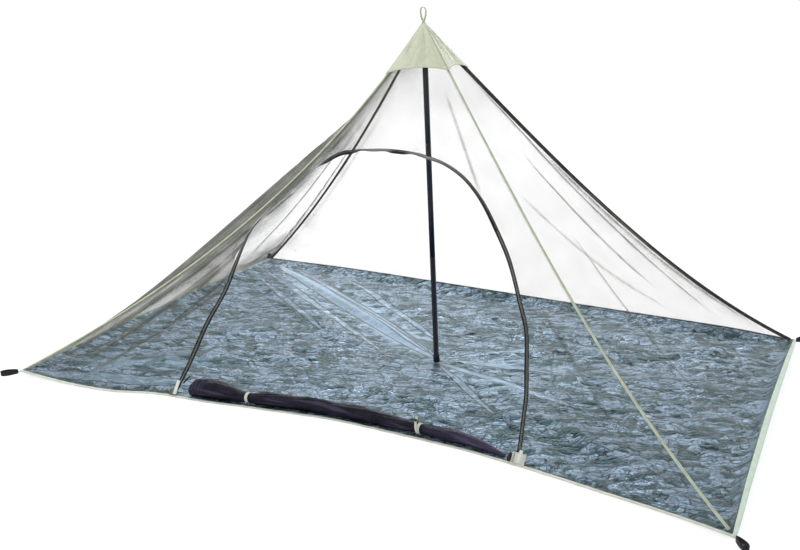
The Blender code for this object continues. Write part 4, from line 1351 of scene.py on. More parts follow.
class Effects:
    """The shader node groups of the shared effects."""

    def __init__(self) -> None:
        """Build every group once."""
        self.groups = {
            Effect.NET_THREADS: self.net_threads(), Effect.WEAVE: self.weave(),
            Effect.FINE_CRINKLE: self.fine_crinkle(), Effect.SOFT_VARIATION: self.soft_variation(),
            Effect.FOLD_BAND: self.fold_band()}

    def start(
        self, name: Effect, inputs: dict[str, str], outputs: dict[str, str]
    ) -> tuple[Sketch, Sockets, Sockets]:
        """Open a group with its named sockets.

        Args:
            name: The effect.
            inputs: Socket kinds of its inputs, by name.
            outputs: Socket kinds of its outputs, by name.

        Returns:
            A sketch of its tree, the sockets it is given and the sockets it fills.
        """
        tree = bpy.data.node_groups.new(name.value, "ShaderNodeTree")
        for key, kind in inputs.items():
            tree.interface.new_socket(key, in_out="INPUT", socket_type=f"NodeSocket{kind}")
        for key, kind in outputs.items():
            tree.interface.new_socket(key, in_out="OUTPUT", socket_type=f"NodeSocket{kind}")
        given = tree.nodes.new("NodeGroupInput").outputs
        return Sketch(tree), given, tree.nodes.new("NodeGroupOutput").inputs

    def net_threads(self) -> NodeTree:
        """Round holes in rows, with threads that thicken where the net is gathered.

        Returns:
            The node group.
        """
        sketch, given, out = self.start(
            Effect.NET_THREADS,
            {"Vector": "Vector", "Pitch": "Float", "Gathering": "Float", "Cover": "Float"},
            {"Coverage": "Float"})
        gathering = given["Gathering"]
        lines = [
            sketch.maths("ABSOLUTE", sketch.waves(given["Vector"], turn, given["Pitch"]))
            for turn in (math.pi / 4, -math.pi / 4)]
        nearest = sketch.most(lines[0], lines[1])
        thickened = sketch.times(sketch.times(gathering, gathering), 0.75)
        width = sketch.maths("ADD", given["Cover"], thickened)
        outer = sketch.maths("SUBTRACT", 1.0, width)
        inner = sketch.maths("MULTIPLY_ADD", width, -0.33, 1.0)
        drift = sketch.between(sketch.noise(given["Vector"], 11.0, 5.0), 0.25, 0.75, 0.7, 1.3)
        strength = sketch.times(sketch.maths("MULTIPLY_ADD", gathering, 0.42, 0.56), drift)
        sketch.fill(out, Coverage=sketch.times(sketch.between(nearest, outer, inner), strength))
        return sketch.tree

    def weave(self) -> NodeTree:
        """Threads that pass over and under each other, with painted shade where they dip under.

        Returns:
            The node group.
        """
        sketch, given, out = self.start(
            Effect.WEAVE, {"Vector": "Vector", "Pitch": "Float"}, {"Height": "Float", "Shade": "Float"})
        warp = sketch.waves(given["Vector"], 0.0, given["Pitch"])
        weft = sketch.waves(given["Vector"], math.pi / 2, given["Pitch"])
        crossing = sketch.times(warp, weft)
        height = sketch.maths("MULTIPLY_ADD", crossing, 0.5, 0.5)
        # Painted shade: the colour darkens where the threads dip under.
        sketch.fill(out, Height=height, Shade=sketch.between(height, 0.0, 0.8, 0.72, 1.0))
        return sketch.tree

    def fine_crinkle(self) -> NodeTree:
        """Crumpled facets at two sizes, longer one way than the other: a relief, a mask for painted shade
        along the sharp creases, and a value for painted light and shade on each facet.

        Returns:
            The node group.
        """
        sketch, given, out = self.start(
            Effect.FINE_CRINKLE, {"Vector": "Vector", "Scale": "Float"},
            {"Height": "Float", "Crease": "Float", "Facet": "Float"})
        warp = sketch.node("ShaderNodeTexNoise", Vector=given["Vector"], Scale=14.0).outputs["Color"]
        shift = sketch.vectors("MULTIPLY", warp, (0.05, 0.05, 0.0))
        shift = sketch.vectors("ADD", shift, given["Vector"])
        height = crease = facet = 0.0
        turned = sketch.node("ShaderNodeVectorRotate", Vector=shift, Angle=-0.3).outputs[0]
        for size, share, stretch in ((1.0, 0.55, (0.4, 1.0, 1.0)), (2.1, 0.45, (0.6, 1.0, 1.0))):
            flat = sketch.vectors("MULTIPLY", turned, stretch)
            scale = sketch.times(given["Scale"], size)
            edge = sketch.cells(flat, scale, "DISTANCE_TO_EDGE").outputs["Distance"]
            cell = sketch.node(
                "ShaderNodeSeparateXYZ", Vector=sketch.cells(flat, scale, "F1").outputs["Color"])
            wave = sketch.noise(flat, scale, 1.0)
            # Painted shade: a mask of dark lines along the creases, which the finishes darken the colour
            # by.
            line = sketch.between(edge, 0.0, 0.07 + 0.04 * size, 1.0, 0.0)
            line = sketch.times(line, sketch.between(wave, 0.36, 0.52, 0.15, 1.0))
            crease = sketch.most(crease, sketch.times(line, 0.4 + share))
            # Painted light and shade: a random value for each cell, which the finishes use to draw it
            # lighter or darker, as if lit or shaded.
            facet = sketch.maths("MULTIPLY_ADD", cell.outputs[0], share, facet)
            height = sketch.maths("MULTIPLY_ADD", sketch.maths("MINIMUM", edge, 0.35), share, height)
            crest = sketch.maths("ABSOLUTE", sketch.maths("SUBTRACT", wave, 0.5))
            height = sketch.maths("MULTIPLY_ADD", crest, -2.2 * share, height)
        sketch.fill(out, Height=height, Crease=crease, Facet=facet)
        return sketch.tree

    def soft_variation(self) -> NodeTree:
        """A cloudy drift between two colours, with its own mask.

        Returns:
            The node group.
        """
        sketch, given, out = self.start(
            Effect.SOFT_VARIATION,
            {"Vector": "Vector", "Scale": "Float", "First": "Color", "Second": "Color"},
            {"Color": "Color", "Mask": "Float"})
        cloud = sketch.noise(given["Vector"], given["Scale"], 4.0)
        mask = sketch.between(cloud, 0.32, 0.68)
        sketch.fill(out, Color=sketch.blend(mask, given["First"], given["Second"]), Mask=mask)
        return sketch.tree

    def fold_band(self) -> NodeTree:
        """A taut lens-shaped fold between two places, as a mask for a painted highlight, with a sharp line
        round it for painted shade.

        Returns:
            The node group.
        """
        sketch, given, out = self.start(
            Effect.FOLD_BAND,
            {
                "Vector": "Vector", "Start": "Vector", "Run": "Vector", "Half Width": "Float",
                "Line": "Float"},
            {"Mask": "Float", "Line": "Float"})
        away = sketch.vectors("SUBTRACT", given["Vector"], given["Start"])
        run = given["Run"]
        reach = sketch.vectors("DOT_PRODUCT", run, run, "Value")
        share = sketch.maths("DIVIDE", sketch.vectors("DOT_PRODUCT", away, run, "Value"), reach)
        offset = sketch.vectors("CROSS_PRODUCT", away, run)
        offset = sketch.vectors("LENGTH", offset, (0.0, 0.0, 0.0), "Value")
        offset = sketch.maths("DIVIDE", offset, sketch.maths("SQRT", reach))
        lens = sketch.times(share, sketch.maths("SUBTRACT", 1.0, share))
        lens = sketch.maths("SQRT", sketch.most(sketch.times(lens, 4.0), 0.0))
        inner = sketch.times(lens, given["Half Width"])
        past = sketch.maths("SUBTRACT", offset, inner)
        line = given["Line"]
        ends = sketch.between(lens, 0.0, 0.45)
        ring = sketch.between(sketch.maths("ABSOLUTE", past), 0.0, line, 1.0, 0.0)
        mask = sketch.times(sketch.between(past, 0.0, line, 1.0, 0.0), ends)
        sketch.fill(out, Mask=mask, Line=sketch.times(ring, ends))
        return sketch.tree

    def place(self, sketch: Sketch, effect: Effect, **inputs: object) -> Node:
        """Put an effect's group into a material's tree.

        Args:
            sketch: The tree's sketch.
            effect: The effect.
            inputs: Values or sockets, by input name.

        Returns:
            The group's node.
        """
        node = sketch.tree.nodes.new("ShaderNodeGroup")
        node.node_tree = self.groups[effect]
        sketch.fill(node.inputs, **inputs)
        return node

    def drift(self, sketch: Sketch, place: Socket, scale: float, first: Triple, second: Triple) -> Sockets:
        """Put the cloudy drift between a finish's two colours into its tree."""
        colours = {"First": opaque(first), "Second": opaque(second)}
        return self.place(sketch, Effect.SOFT_VARIATION, Vector=place, Scale=scale, **colours).outputs


def opaque(colour: Triple) -> tuple[float, float, float, float]:
    """A colour with full alpha."""
    return (*colour, 1.0)


def new_material(name: str) -> tuple[Material, Sketch, Node]:
    """Start a material.

    Args:
        name: Its name.

    Returns:
        The material, a sketch of its tree, and its shader.
    """
    material = bpy.data.materials.new(name)
    material.use_nodes = True
    shader = material.node_tree.nodes["Principled BSDF"]
    return material, Sketch(material.node_tree), shader


@dataclass(frozen=True)
class NetFinish:
    """Knitted mosquito net: fine dark threads round small holes."""

    name: str
    threads: Triple
    bright: Triple
    pitch: float = 0.0022
    cover: float = 0.02
    roughness: float = 0.62
    light_share: float = 0.35
    drift_scale: float = 6.0
    sheen: float = 0.1

    def build(self, effects: Effects) -> Material:
        """Make the material.

        Args:
            effects: The shared node groups.

        Returns:
            The material.
        """
        material, sketch, shader = new_material(self.name)
        place = sketch.node("ShaderNodeUVMap").outputs["UV"]
        net = effects.place(
            sketch, Effect.NET_THREADS, Vector=place, Pitch=self.pitch, Gathering=sketch.mark("gathering"),
            Cover=self.cover)
        tone = effects.drift(sketch, place, self.drift_scale, self.threads, self.bright)
        back = sketch.node("ShaderNodeNewGeometry").outputs["Backfacing"]
        looked = sketch.node("ShaderNodeLightPath").outputs["Is Camera Ray"]
        stops = sketch.maths("MULTIPLY_ADD", looked, 1.0 - self.light_share, self.light_share)
        seen = sketch.times(sketch.maths("SUBTRACT", 1.0, back), stops)
        alpha = sketch.times(net.outputs["Coverage"], seen)
        sketch.fill(shader.inputs, Base_Color=tone["Color"], Alpha=alpha)
        sketch.fill(shader.inputs, Roughness=self.roughness, Sheen_Weight=self.sheen)
        return material


@dataclass(frozen=True)
class Band:
    """A taut fold of a coated cloth, from a start to an end in its flat, drawn as a painted highlight with
    painted shade along its edges.
    """

    start: Pair
    end: Pair
    half_width: float
    # How far the fold's painted highlight draws the colour towards the lighter one.
    lift: float = 0.5


@dataclass(frozen=True)
class CoatedFinish:
    """Thin coated cloth, glossy between fine crinkles and taut folds, with painted shade along its creases
    and fold edges, painted light and shade on its facets and a painted highlight on its taut folds.
    """

    name: str
    first: Triple
    second: Triple
    roughness: float
    coat: float
    crinkle_scale: float
    crinkle_depth: float
    crease_shade: float
    metallic: float = 0.0
    # The share of the colour mix that is painted light and shade on the facets.
    facet_light_share: float = 0.0
    bands: tuple[Band, ...] = ()
    band_line: float = 0.0045
    weave_pitch: float = 0.0009
    drift_scale: float = 5.0
    coat_roughness: float = 0.16
    band_calm: float = 0.85
    weave_shade: float = 0.25
    weave_height: float = 0.02
    tone_and_light_span: Pair = (0.24, 0.74)
    wear: float = 0.08

    def build(self, effects: Effects) -> Material:
        """Make the material.

        Args:
            effects: The shared node groups.

        Returns:
            The material.
        """
        material, sketch, shader = new_material(self.name)
        place = sketch.node("ShaderNodeUVMap").outputs["UV"]
        tone = effects.drift(sketch, place, self.drift_scale, self.first, self.second)
        weave = effects.place(sketch, Effect.WEAVE, Vector=place, Pitch=self.weave_pitch)
        crinkle = effects.place(sketch, Effect.FINE_CRINKLE, Vector=place, Scale=self.crinkle_scale)
        crumpled = sketch.mark("crumple")
        taut = edges = lift = 0.0
        for band in self.bands:
            fold = effects.place(
                sketch, Effect.FOLD_BAND, Vector=place, Start=(*band.start, 0.0),
                Run=(band.end[0] - band.start[0], band.end[1] - band.start[1], 0.0),
                Half_Width=band.half_width, Line=self.band_line)
            mask = fold.outputs["Mask"]
            taut = sketch.most(taut, mask)
            edges = sketch.most(edges, fold.outputs["Line"])
            lift = sketch.most(lift, sketch.times(mask, band.lift))
        crumpled = sketch.times(crumpled, sketch.maths("MULTIPLY_ADD", taut, -self.band_calm, 1.0))
        # Painted shade: the crinkle creases and the fold bands' edges darken the colour.
        lines = sketch.times(sketch.times(crinkle.outputs["Crease"], crumpled), self.crease_shade)
        lines = sketch.most(lines, sketch.times(edges, self.crease_shade))
        # Painted shade in the weave's hollows.
        woven = sketch.maths(
            "MULTIPLY_ADD", weave.outputs["Shade"], self.weave_shade, 1.0 - self.weave_shade)
        shade = sketch.times(woven, sketch.maths("SUBTRACT", 1.0, lines))
        # Painted light and shade: each facet is drawn towards the lighter or the darker colour, as if lit
        # or shaded.
        facet = sketch.times(crinkle.outputs["Facet"], self.facet_light_share)
        share = sketch.maths("MULTIPLY_ADD", tone["Mask"], 1.0 - self.facet_light_share, facet)
        # Painted highlight: the taut folds are drawn towards the lighter colour.
        share = sketch.most(sketch.between(share, *self.tone_and_light_span), lift)
        tint = sketch.blend(share, opaque(self.first), opaque(self.second))
        colour = sketch.scaled(tint, shade)
        relief = sketch.times(crinkle.outputs["Height"], crumpled)
        height = sketch.maths("MULTIPLY_ADD", weave.outputs["Height"], self.weave_height, relief)
        bump = sketch.node("ShaderNodeBump", Strength=1.0, Distance=self.crinkle_depth, Height=height)
        rough = sketch.between(tone["Mask"], 0.0, 1.0, self.roughness, self.roughness + self.wear)
        sketch.fill(shader.inputs, Base_Color=colour, Normal=bump.outputs[0], Roughness=rough)
        sketch.fill(
            shader.inputs, Metallic=self.metallic, Coat_Weight=self.coat,
            Coat_Roughness=self.coat_roughness)
        return material


@dataclass(frozen=True)
class WovenFinish:
    """Narrow woven or knitted goods: tape, webbing, binding, zip tape or rolled net."""

    name: str
    first: Triple
    second: Triple
    pitch: float
    roughness: float
    relief: float = 0.0003
    sheen: float = 0.2
    grain: float = 40.0
    specular: float = 0.25
    # The tint of painted highlights, drawn in where the mesh is marked pale.
    highlight_tint: Optional[Triple] = None

    def build(self, effects: Effects) -> Material:
        """Make the material.

        Args:
            effects: The shared node groups.

        Returns:
            The material.
        """
        material, sketch, shader = new_material(self.name)
        place = sketch.node("ShaderNodeUVMap").outputs["UV"]
        tint = effects.drift(sketch, place, self.grain, self.first, self.second)["Color"]
        weave = effects.place(sketch, Effect.WEAVE, Vector=place, Pitch=self.pitch).outputs
        # Painted highlight: where the mesh is marked pale, the colour is drawn towards the highlight tint.
        if self.highlight_tint is not None:
            tint = sketch.blend(sketch.mark("pale"), tint, opaque(self.highlight_tint))
        # Painted shade: the weave's hollows darken the colour.
        colour = sketch.scaled(tint, weave["Shade"])
        bump = sketch.node("ShaderNodeBump", Strength=0.8, Distance=self.relief, Height=weave["Height"])
        sketch.fill(shader.inputs, Base_Color=colour, Normal=bump.outputs[0], Roughness=self.roughness)
        sketch.fill(shader.inputs, Sheen_Weight=self.sheen, Specular_IOR_Level=self.specular)
        return material


@dataclass(frozen=True)
class HardFinish:
    """Painted metal or moulded plastic, rubbed to a duller patchwork."""

    name: str
    first: Triple
    second: Triple
    roughness: float
    metallic: float
    coat: float
    specular: float = 0.25
    drift_scale: float = 30.0
    grain: float = 900.0
    relief: float = 0.0001
    wear: float = 0.15

    def build(self, effects: Effects) -> Material:
        """Make the material.

        Args:
            effects: The shared node groups.

        Returns:
            The material.
        """
        material, sketch, shader = new_material(self.name)
        place = sketch.node("ShaderNodeTexCoord").outputs["Object"]
        tone = effects.drift(sketch, place, self.drift_scale, self.first, self.second)
        grain = sketch.noise(place, self.grain, 2.0)
        rough = sketch.between(tone["Mask"], 0.0, 1.0, self.roughness, self.roughness + self.wear)
        bump = sketch.node("ShaderNodeBump", Strength=0.4, Distance=self.relief, Height=grain)
        sketch.fill(shader.inputs, Base_Color=tone["Color"], Normal=bump.outputs[0], Roughness=rough)
        sketch.fill(
            shader.inputs, Metallic=self.metallic, Coat_Weight=self.coat, Specular_IOR_Level=self.specular)
        return material


class Finish(Enum):
    """The finishes of the tent's pieces."""

    NET = NetFinish("net_olive", (0.034, 0.038, 0.026), (0.074, 0.08, 0.056))
    # The floor's darker colour is its painted shade and its lighter one its painted light and reflection:
    # nearly all of its mix is painted facet light, and its bands are painted highlights.
    FLOOR = CoatedFinish(
        "floor_coated_blue_grey", (0.015, 0.068, 0.082), (0.225, 0.325, 0.432), 0.26, 0.06, 46.0, 0.0115,
        1.0, 0.75, 0.92,
        table(
            Band, ((-1.04, 0.575), (0.015, 0.0), 0.031, 0.72), ((-0.86, 0.535), (0.02, 0.012), 0.018, 0.52),
            ((-1.05, 0.5), (-0.16, -0.03), 0.014, 0.34), ((-0.98, 0.59), (-0.06, 0.08), 0.012, 0.42),
            ((-0.7, 0.56), (-0.02, 0.12), 0.013, 0.3), ((-1.02, 0.42), (-0.42, 0.02), 0.012, 0.3),
            ((0.03, 0.0), (0.48, 0.055), 0.014, 0.66), ((0.035, -0.02), (0.56, -0.15), 0.015, 0.66),
            ((0.03, 0.01), (0.36, 0.24), 0.01, 0.55), ((0.04, -0.03), (0.36, -0.29), 0.01, 0.55),
            ((-1.08, -0.59), (-0.56, -0.46), 0.03, 0.45)))
    # The cap's creases get a little painted shade.
    CAP = CoatedFinish(
        "cap_coated_sage", (0.5, 0.54, 0.39), (0.58, 0.62, 0.47), 0.5, 0.05, 22.0, 0.0008, 0.1)
    TAPE = WovenFinish("tape_pale_green", (0.52, 0.58, 0.42), (0.66, 0.72, 0.56), 0.0008, 0.7)
    BINDING = WovenFinish("binding_mint", (0.56, 0.72, 0.6), (0.66, 0.8, 0.68), 0.0009, 0.62)
    PIPING = WovenFinish("binding_off_white", (0.62, 0.66, 0.56), (0.76, 0.79, 0.7), 0.0009, 0.62)
    WHITE = WovenFinish("tape_white", (0.8, 0.82, 0.76), (0.88, 0.9, 0.85), 0.0009, 0.62)
    DARK_TAPE = WovenFinish(
        "tape_dark_olive", (0.022, 0.025, 0.022), (0.052, 0.055, 0.042), 0.0008, 0.75, 0.0003, 0.05)
    OLIVE_TAPE = WovenFinish(
        "tape_olive", (0.058, 0.056, 0.038), (0.105, 0.1, 0.072), 0.0008, 0.75, 0.0003, 0.05)
    GUIDE = WovenFinish("zip_guide_grey", (0.16, 0.17, 0.15), (0.24, 0.25, 0.22), 0.0006, 0.6, 0.0003, 0.05)
    THREAD = WovenFinish("thread_pale", (0.78, 0.84, 0.7), (0.86, 0.9, 0.8), 0.0004, 0.6)
    DARK_THREAD = WovenFinish("thread_dark", (0.05, 0.06, 0.05), (0.1, 0.11, 0.09), 0.0004, 0.6)
    # The zip tape's last tint is its painted highlight where it turns out.
    ZIP = WovenFinish(
        "zip_tape_black", (0.004, 0.004, 0.006), (0.012, 0.012, 0.016), 0.0007, 0.6, 0.0003, 0.0, 40.0,
        0.25, (0.3, 0.3, 0.29))
    # The rolled net's last tint is its painted highlight.
    ROLL = WovenFinish(
        "rolled_net_dark", (0.001, 0.001, 0.006), (0.012, 0.01, 0.028), 0.0046, 0.45, 0.001, 0.0, 30.0,
        0.16, (0.11, 0.092, 0.17))
    WEBBING = WovenFinish(
        "webbing_black", (0.01, 0.01, 0.012), (0.024, 0.024, 0.028), 0.0014, 0.75, 0.0003, 0.05)
    PLASTIC = HardFinish("plastic_black", (0.012, 0.012, 0.014), (0.026, 0.026, 0.03), 0.35, 0.0, 0.15)
    POLE = HardFinish("pole_black_navy", (0.003, 0.005, 0.013), (0.007, 0.01, 0.022), 0.34, 0.0, 0.04)


class Workshop:
    """The materials and tools that every sub-assembly uses."""

    def __init__(self) -> None:
        """Build every finish once."""
        effects = Effects()
        self.materials = {finish: finish.value.build(effects) for finish in Finish}
        self.repeater = Repeater()

    def material(self, finish: Finish) -> Material:
        """The material of a finish."""
        return self.materials[finish]

    def keep(self, item: Piece, *nodes: str) -> Piece:
        """Let a finished piece ride on the tent.

        Args:
            item: The piece.
            nodes: The solids it stands for.

        Returns:
            The same piece.
        """
        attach(item, "root")
        if nodes:
            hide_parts(*nodes)
        LOG.info("%s: %d faces", item.name, len(item.data.polygons))
        return item

    def stitches(
        self, name: str, places: Places, finish: Finish = Finish.THREAD,
        size: Triple = (0.003, 0.0007, 0.0005)
    ) -> None:
        """Sew a row of stitches."""
        self.keep(self.repeater.make(name, Unit.STITCH, places, size, self.material(finish)))


@dataclass(frozen=True)
class Part:
    """A sub-assembly of the tent, made in the workshop."""

    shop: Workshop


# ---- net walls


@dataclass(frozen=True)
class NetWalls(Part):
    """The four sheer walls, the front one cut out round its doorway."""

    thickness: float = 0.0004
    rows: int = 130
    long_columns: int = 168
    short_columns: int = 140
    seam_inset: float = 0.0008
    crown: int = 34
    rim_columns: int = 56

    def build(self) -> dict[Side, Piece]:
        """Make the four walls.

        Returns:
            Each side's wall.
        """
        made = {side: self.plain_wall(WALLS[side]) for side in Side if side is not Side.FRONT}
        made[Side.FRONT] = self.front_wall()
        return made

    def add(self, wall: Wall, along: Array, up: Array) -> Piece:
        """Make one wall's sheet.

        Args:
            wall: The wall.
            along: Its grid's shares along.
            up: Its grid's shares up.

        Returns:
            The sheet's object.
        """
        across, rise = wall.flat_place(along, up)
        item = add_sheet(
            f"net_wall_{wall.side.value}", wall.surface(along, up), np.stack((across, rise), axis=-1),
            self.thickness, self.shop.material(Finish.NET), wall.normal,
            {"gathering": wall.gathering(along, up)})
        return self.shop.keep(item, f"net_{wall.side.value}")

    def plain_wall(self, wall: Wall) -> Piece:
        """Make a whole wall between two ridges.

        Args:
            wall: The wall.

        Returns:
            Its object.
        """
        columns = self.long_columns if wall.base == TENT_LENGTH else self.short_columns
        ups = np.linspace(0.0, NET_TOP, self.rows)[:, None]
        inset = self.seam_inset / (wall.base * (1 - ups))
        along = inset + (1 - 2 * inset) * evenly(columns)[None, :]
        return self.add(wall, along, np.broadcast_to(ups, along.shape))

    def front_wall(self) -> Piece:
        """Make the front wall, in one piece round the doorway.

        Returns:
            Its object.
        """
        along, up = Doorway().wall_places(self.rows, self.crown, self.rim_columns)
        width = TENT_LENGTH * (1 - up)
        inset = self.seam_inset / width
        along = np.clip(along, inset, 1 - inset)
        return self.add(WALLS[Side.FRONT], along, up)


# ---- ridges


@dataclass(frozen=True)
class Ridges(Part):
    """The folded tapes over the ridges, their stitches and the turned-in seams below them."""

    half_width: float = 0.0036
    dark_half_width: float = 0.0044
    near: float = 0.0005
    far: float = 0.0016
    start: float = 0.0075
    stations: int = 150
    seam_depth: float = 0.0095
    seam_thickness: float = 0.0014
    stitch_inset: float = 0.0014
    stitch_pitch: float = 0.0042
    pale: tuple[Corner, ...] = (Corner.FRONT_LEFT, Corner.FRONT_RIGHT)

    def build(self) -> None:
        """Make every ridge's tape, stitches and seam."""
        for corner in Corner:
            self.dress(corner)

    def dress(self, corner: Corner) -> None:
        """Make one ridge's tape, its two rows of stitches and its seam.

        Args:
            corner: The ridge's lower end.
        """
        tape = Finish.TAPE if corner in self.pale else Finish.DARK_TAPE
        tape = Finish.OLIVE_TAPE if corner is Corner.BACK_LEFT else tape
        thread = Finish.THREAD if corner in self.pale else Finish.DARK_THREAD
        seam = Seam.along(corner, np.linspace(self.start, NET_TOP, self.stations))
        half_width = self.half_width if corner in self.pale else self.dark_half_width
        rings = seam.folded_rings(half_width, self.near, self.far)
        name = f"ridge_band_{corner.value}"
        self.shop.keep(add_loft(name, rings, self.shop.material(tape)), f"ridge_tape_{corner.value}")
        aside = half_width - self.stitch_inset
        left = Places.along(seam.left(aside, self.far), seam.left_out, self.stitch_pitch)
        right = Places.along(seam.right(aside, self.far), seam.right_out, self.stitch_pitch)
        self.shop.stitches(f"ridge_stitches_{corner.value}", left.joined(right), thread)
        inward = -unit(seam.left_out + seam.right_out)
        noise = GradientNoise(41)
        drift = noise.at(np.arange(self.stations) / 5.0, np.full(self.stations, 0.4))[:, None]
        thin = corner in (Corner.FRONT_RIGHT, Corner.BACK_LEFT)
        full_depth = self.seam_depth * (0.5 if thin else 1.0)
        depth = full_depth / 2
        line = seam.points + inward * (depth + 0.0006) + seam.left_in * drift * 0.0012
        fold = add_ribbon(
            f"ridge_seam_{corner.value}", line, inward + seam.left_in * drift * 0.5, full_depth,
            self.seam_thickness,
            self.shop.material(Finish.DARK_TAPE if corner is Corner.FRONT_RIGHT else tape))
        self.shop.keep(fold)


# ---- floor and hems


def plan_normals(line: Array) -> Array:
    """Outward level directions along a hem that runs anticlockwise."""
    edges = unit(np.gradient(line[:, :2], axis=0))
    return np.column_stack((edges[:, 1], -edges[:, 0], np.zeros(len(line))))


def mitred(line: Array, distance: Array) -> Array:
    """Move a hem line outward and cut its ends along the corners' diagonals.

    Args:
        line: The line.
        distance: How far each point moves.

    Returns:
        The moved line.
    """
    moved = line + plan_normals(line) * np.reshape(distance, (-1, 1))
    for end, inner in ((0, 1), (-1, -2)):
        corner = line[end][:2]
        diagonal = unit(np.sign(corner))
        square = np.array((-diagonal[1], diagonal[0]))
        along = unit(line[inner][:2] - corner)
        if along @ square < 0:
            square = -square
        out = moved[end][:2] - corner
        moved[end][:2] += along * (GAP - out @ square) / (along @ square)
    return moved


@dataclass(frozen=True)
class HemBindings(Part):
    """The folded bindings that join the floor to the walls."""

    thickness: float = HEM_THICKNESS
    stations: int = 240
    narrow: float = 0.0085
    stitch_pitch: float = 0.0045
    ripple: float = 0.0007

    def finish(self, side: Side) -> Finish:
        """The binding cloth of a side."""
        kinds = {Side.FRONT: Finish.PIPING, Side.RIGHT: Finish.BINDING, Side.BACK: Finish.DARK_TAPE}
        return kinds.get(side, Finish.TAPE)

    def build(self) -> None:
        """Make the four bindings with their stitches."""
        for side in Side:
            self.bind(WALLS[side])

    def bind(self, wall: Wall) -> None:
        """Make one side's binding, folded round the hem, and its row of stitches.

        Args:
            wall: The side's wall.
        """
        shares = evenly(self.stations)
        line = wall.hem_line(shares)
        swell = np.sqrt(np.clip(np.sin(np.pi * shares), 0.0, None))
        width = self.narrow + (wall.hem_width - self.narrow) * swell
        noise = GradientNoise(7 + len(wall.side.value))
        drift = noise.at(shares * wall.base / 0.03, np.full(self.stations, 0.3))
        line[:, 2] += self.ripple * drift * np.sin(np.pi * shares) ** 0.5
        half = self.thickness / 2
        profile = ((0.0, -0.9), (0.35, -1.0), (0.85, -0.95), (1.0, -0.55), (1.02, 0.0))
        outline = profile + tuple((out, -high) for out, high in reversed(profile[:-1]))
        rings = []
        for out, high in outline:
            edge = mitred(line, out * width)
            edge[:, 2] += high * half
            rings.append(edge)
        band = add_loft(
            f"hem_binding_{wall.side.value}", np.stack(rings, axis=1),
            self.shop.material(self.finish(wall.side)))
        seat = mitred(line, 0.3 * width)[2:-2]
        seat[:, 2] += half
        self.shop.stitches(f"hem_stitches_{wall.side.value}", Places.along(seat, UP, self.stitch_pitch))
        self.shop.keep(band, f"hem_tape_{wall.side.value}")


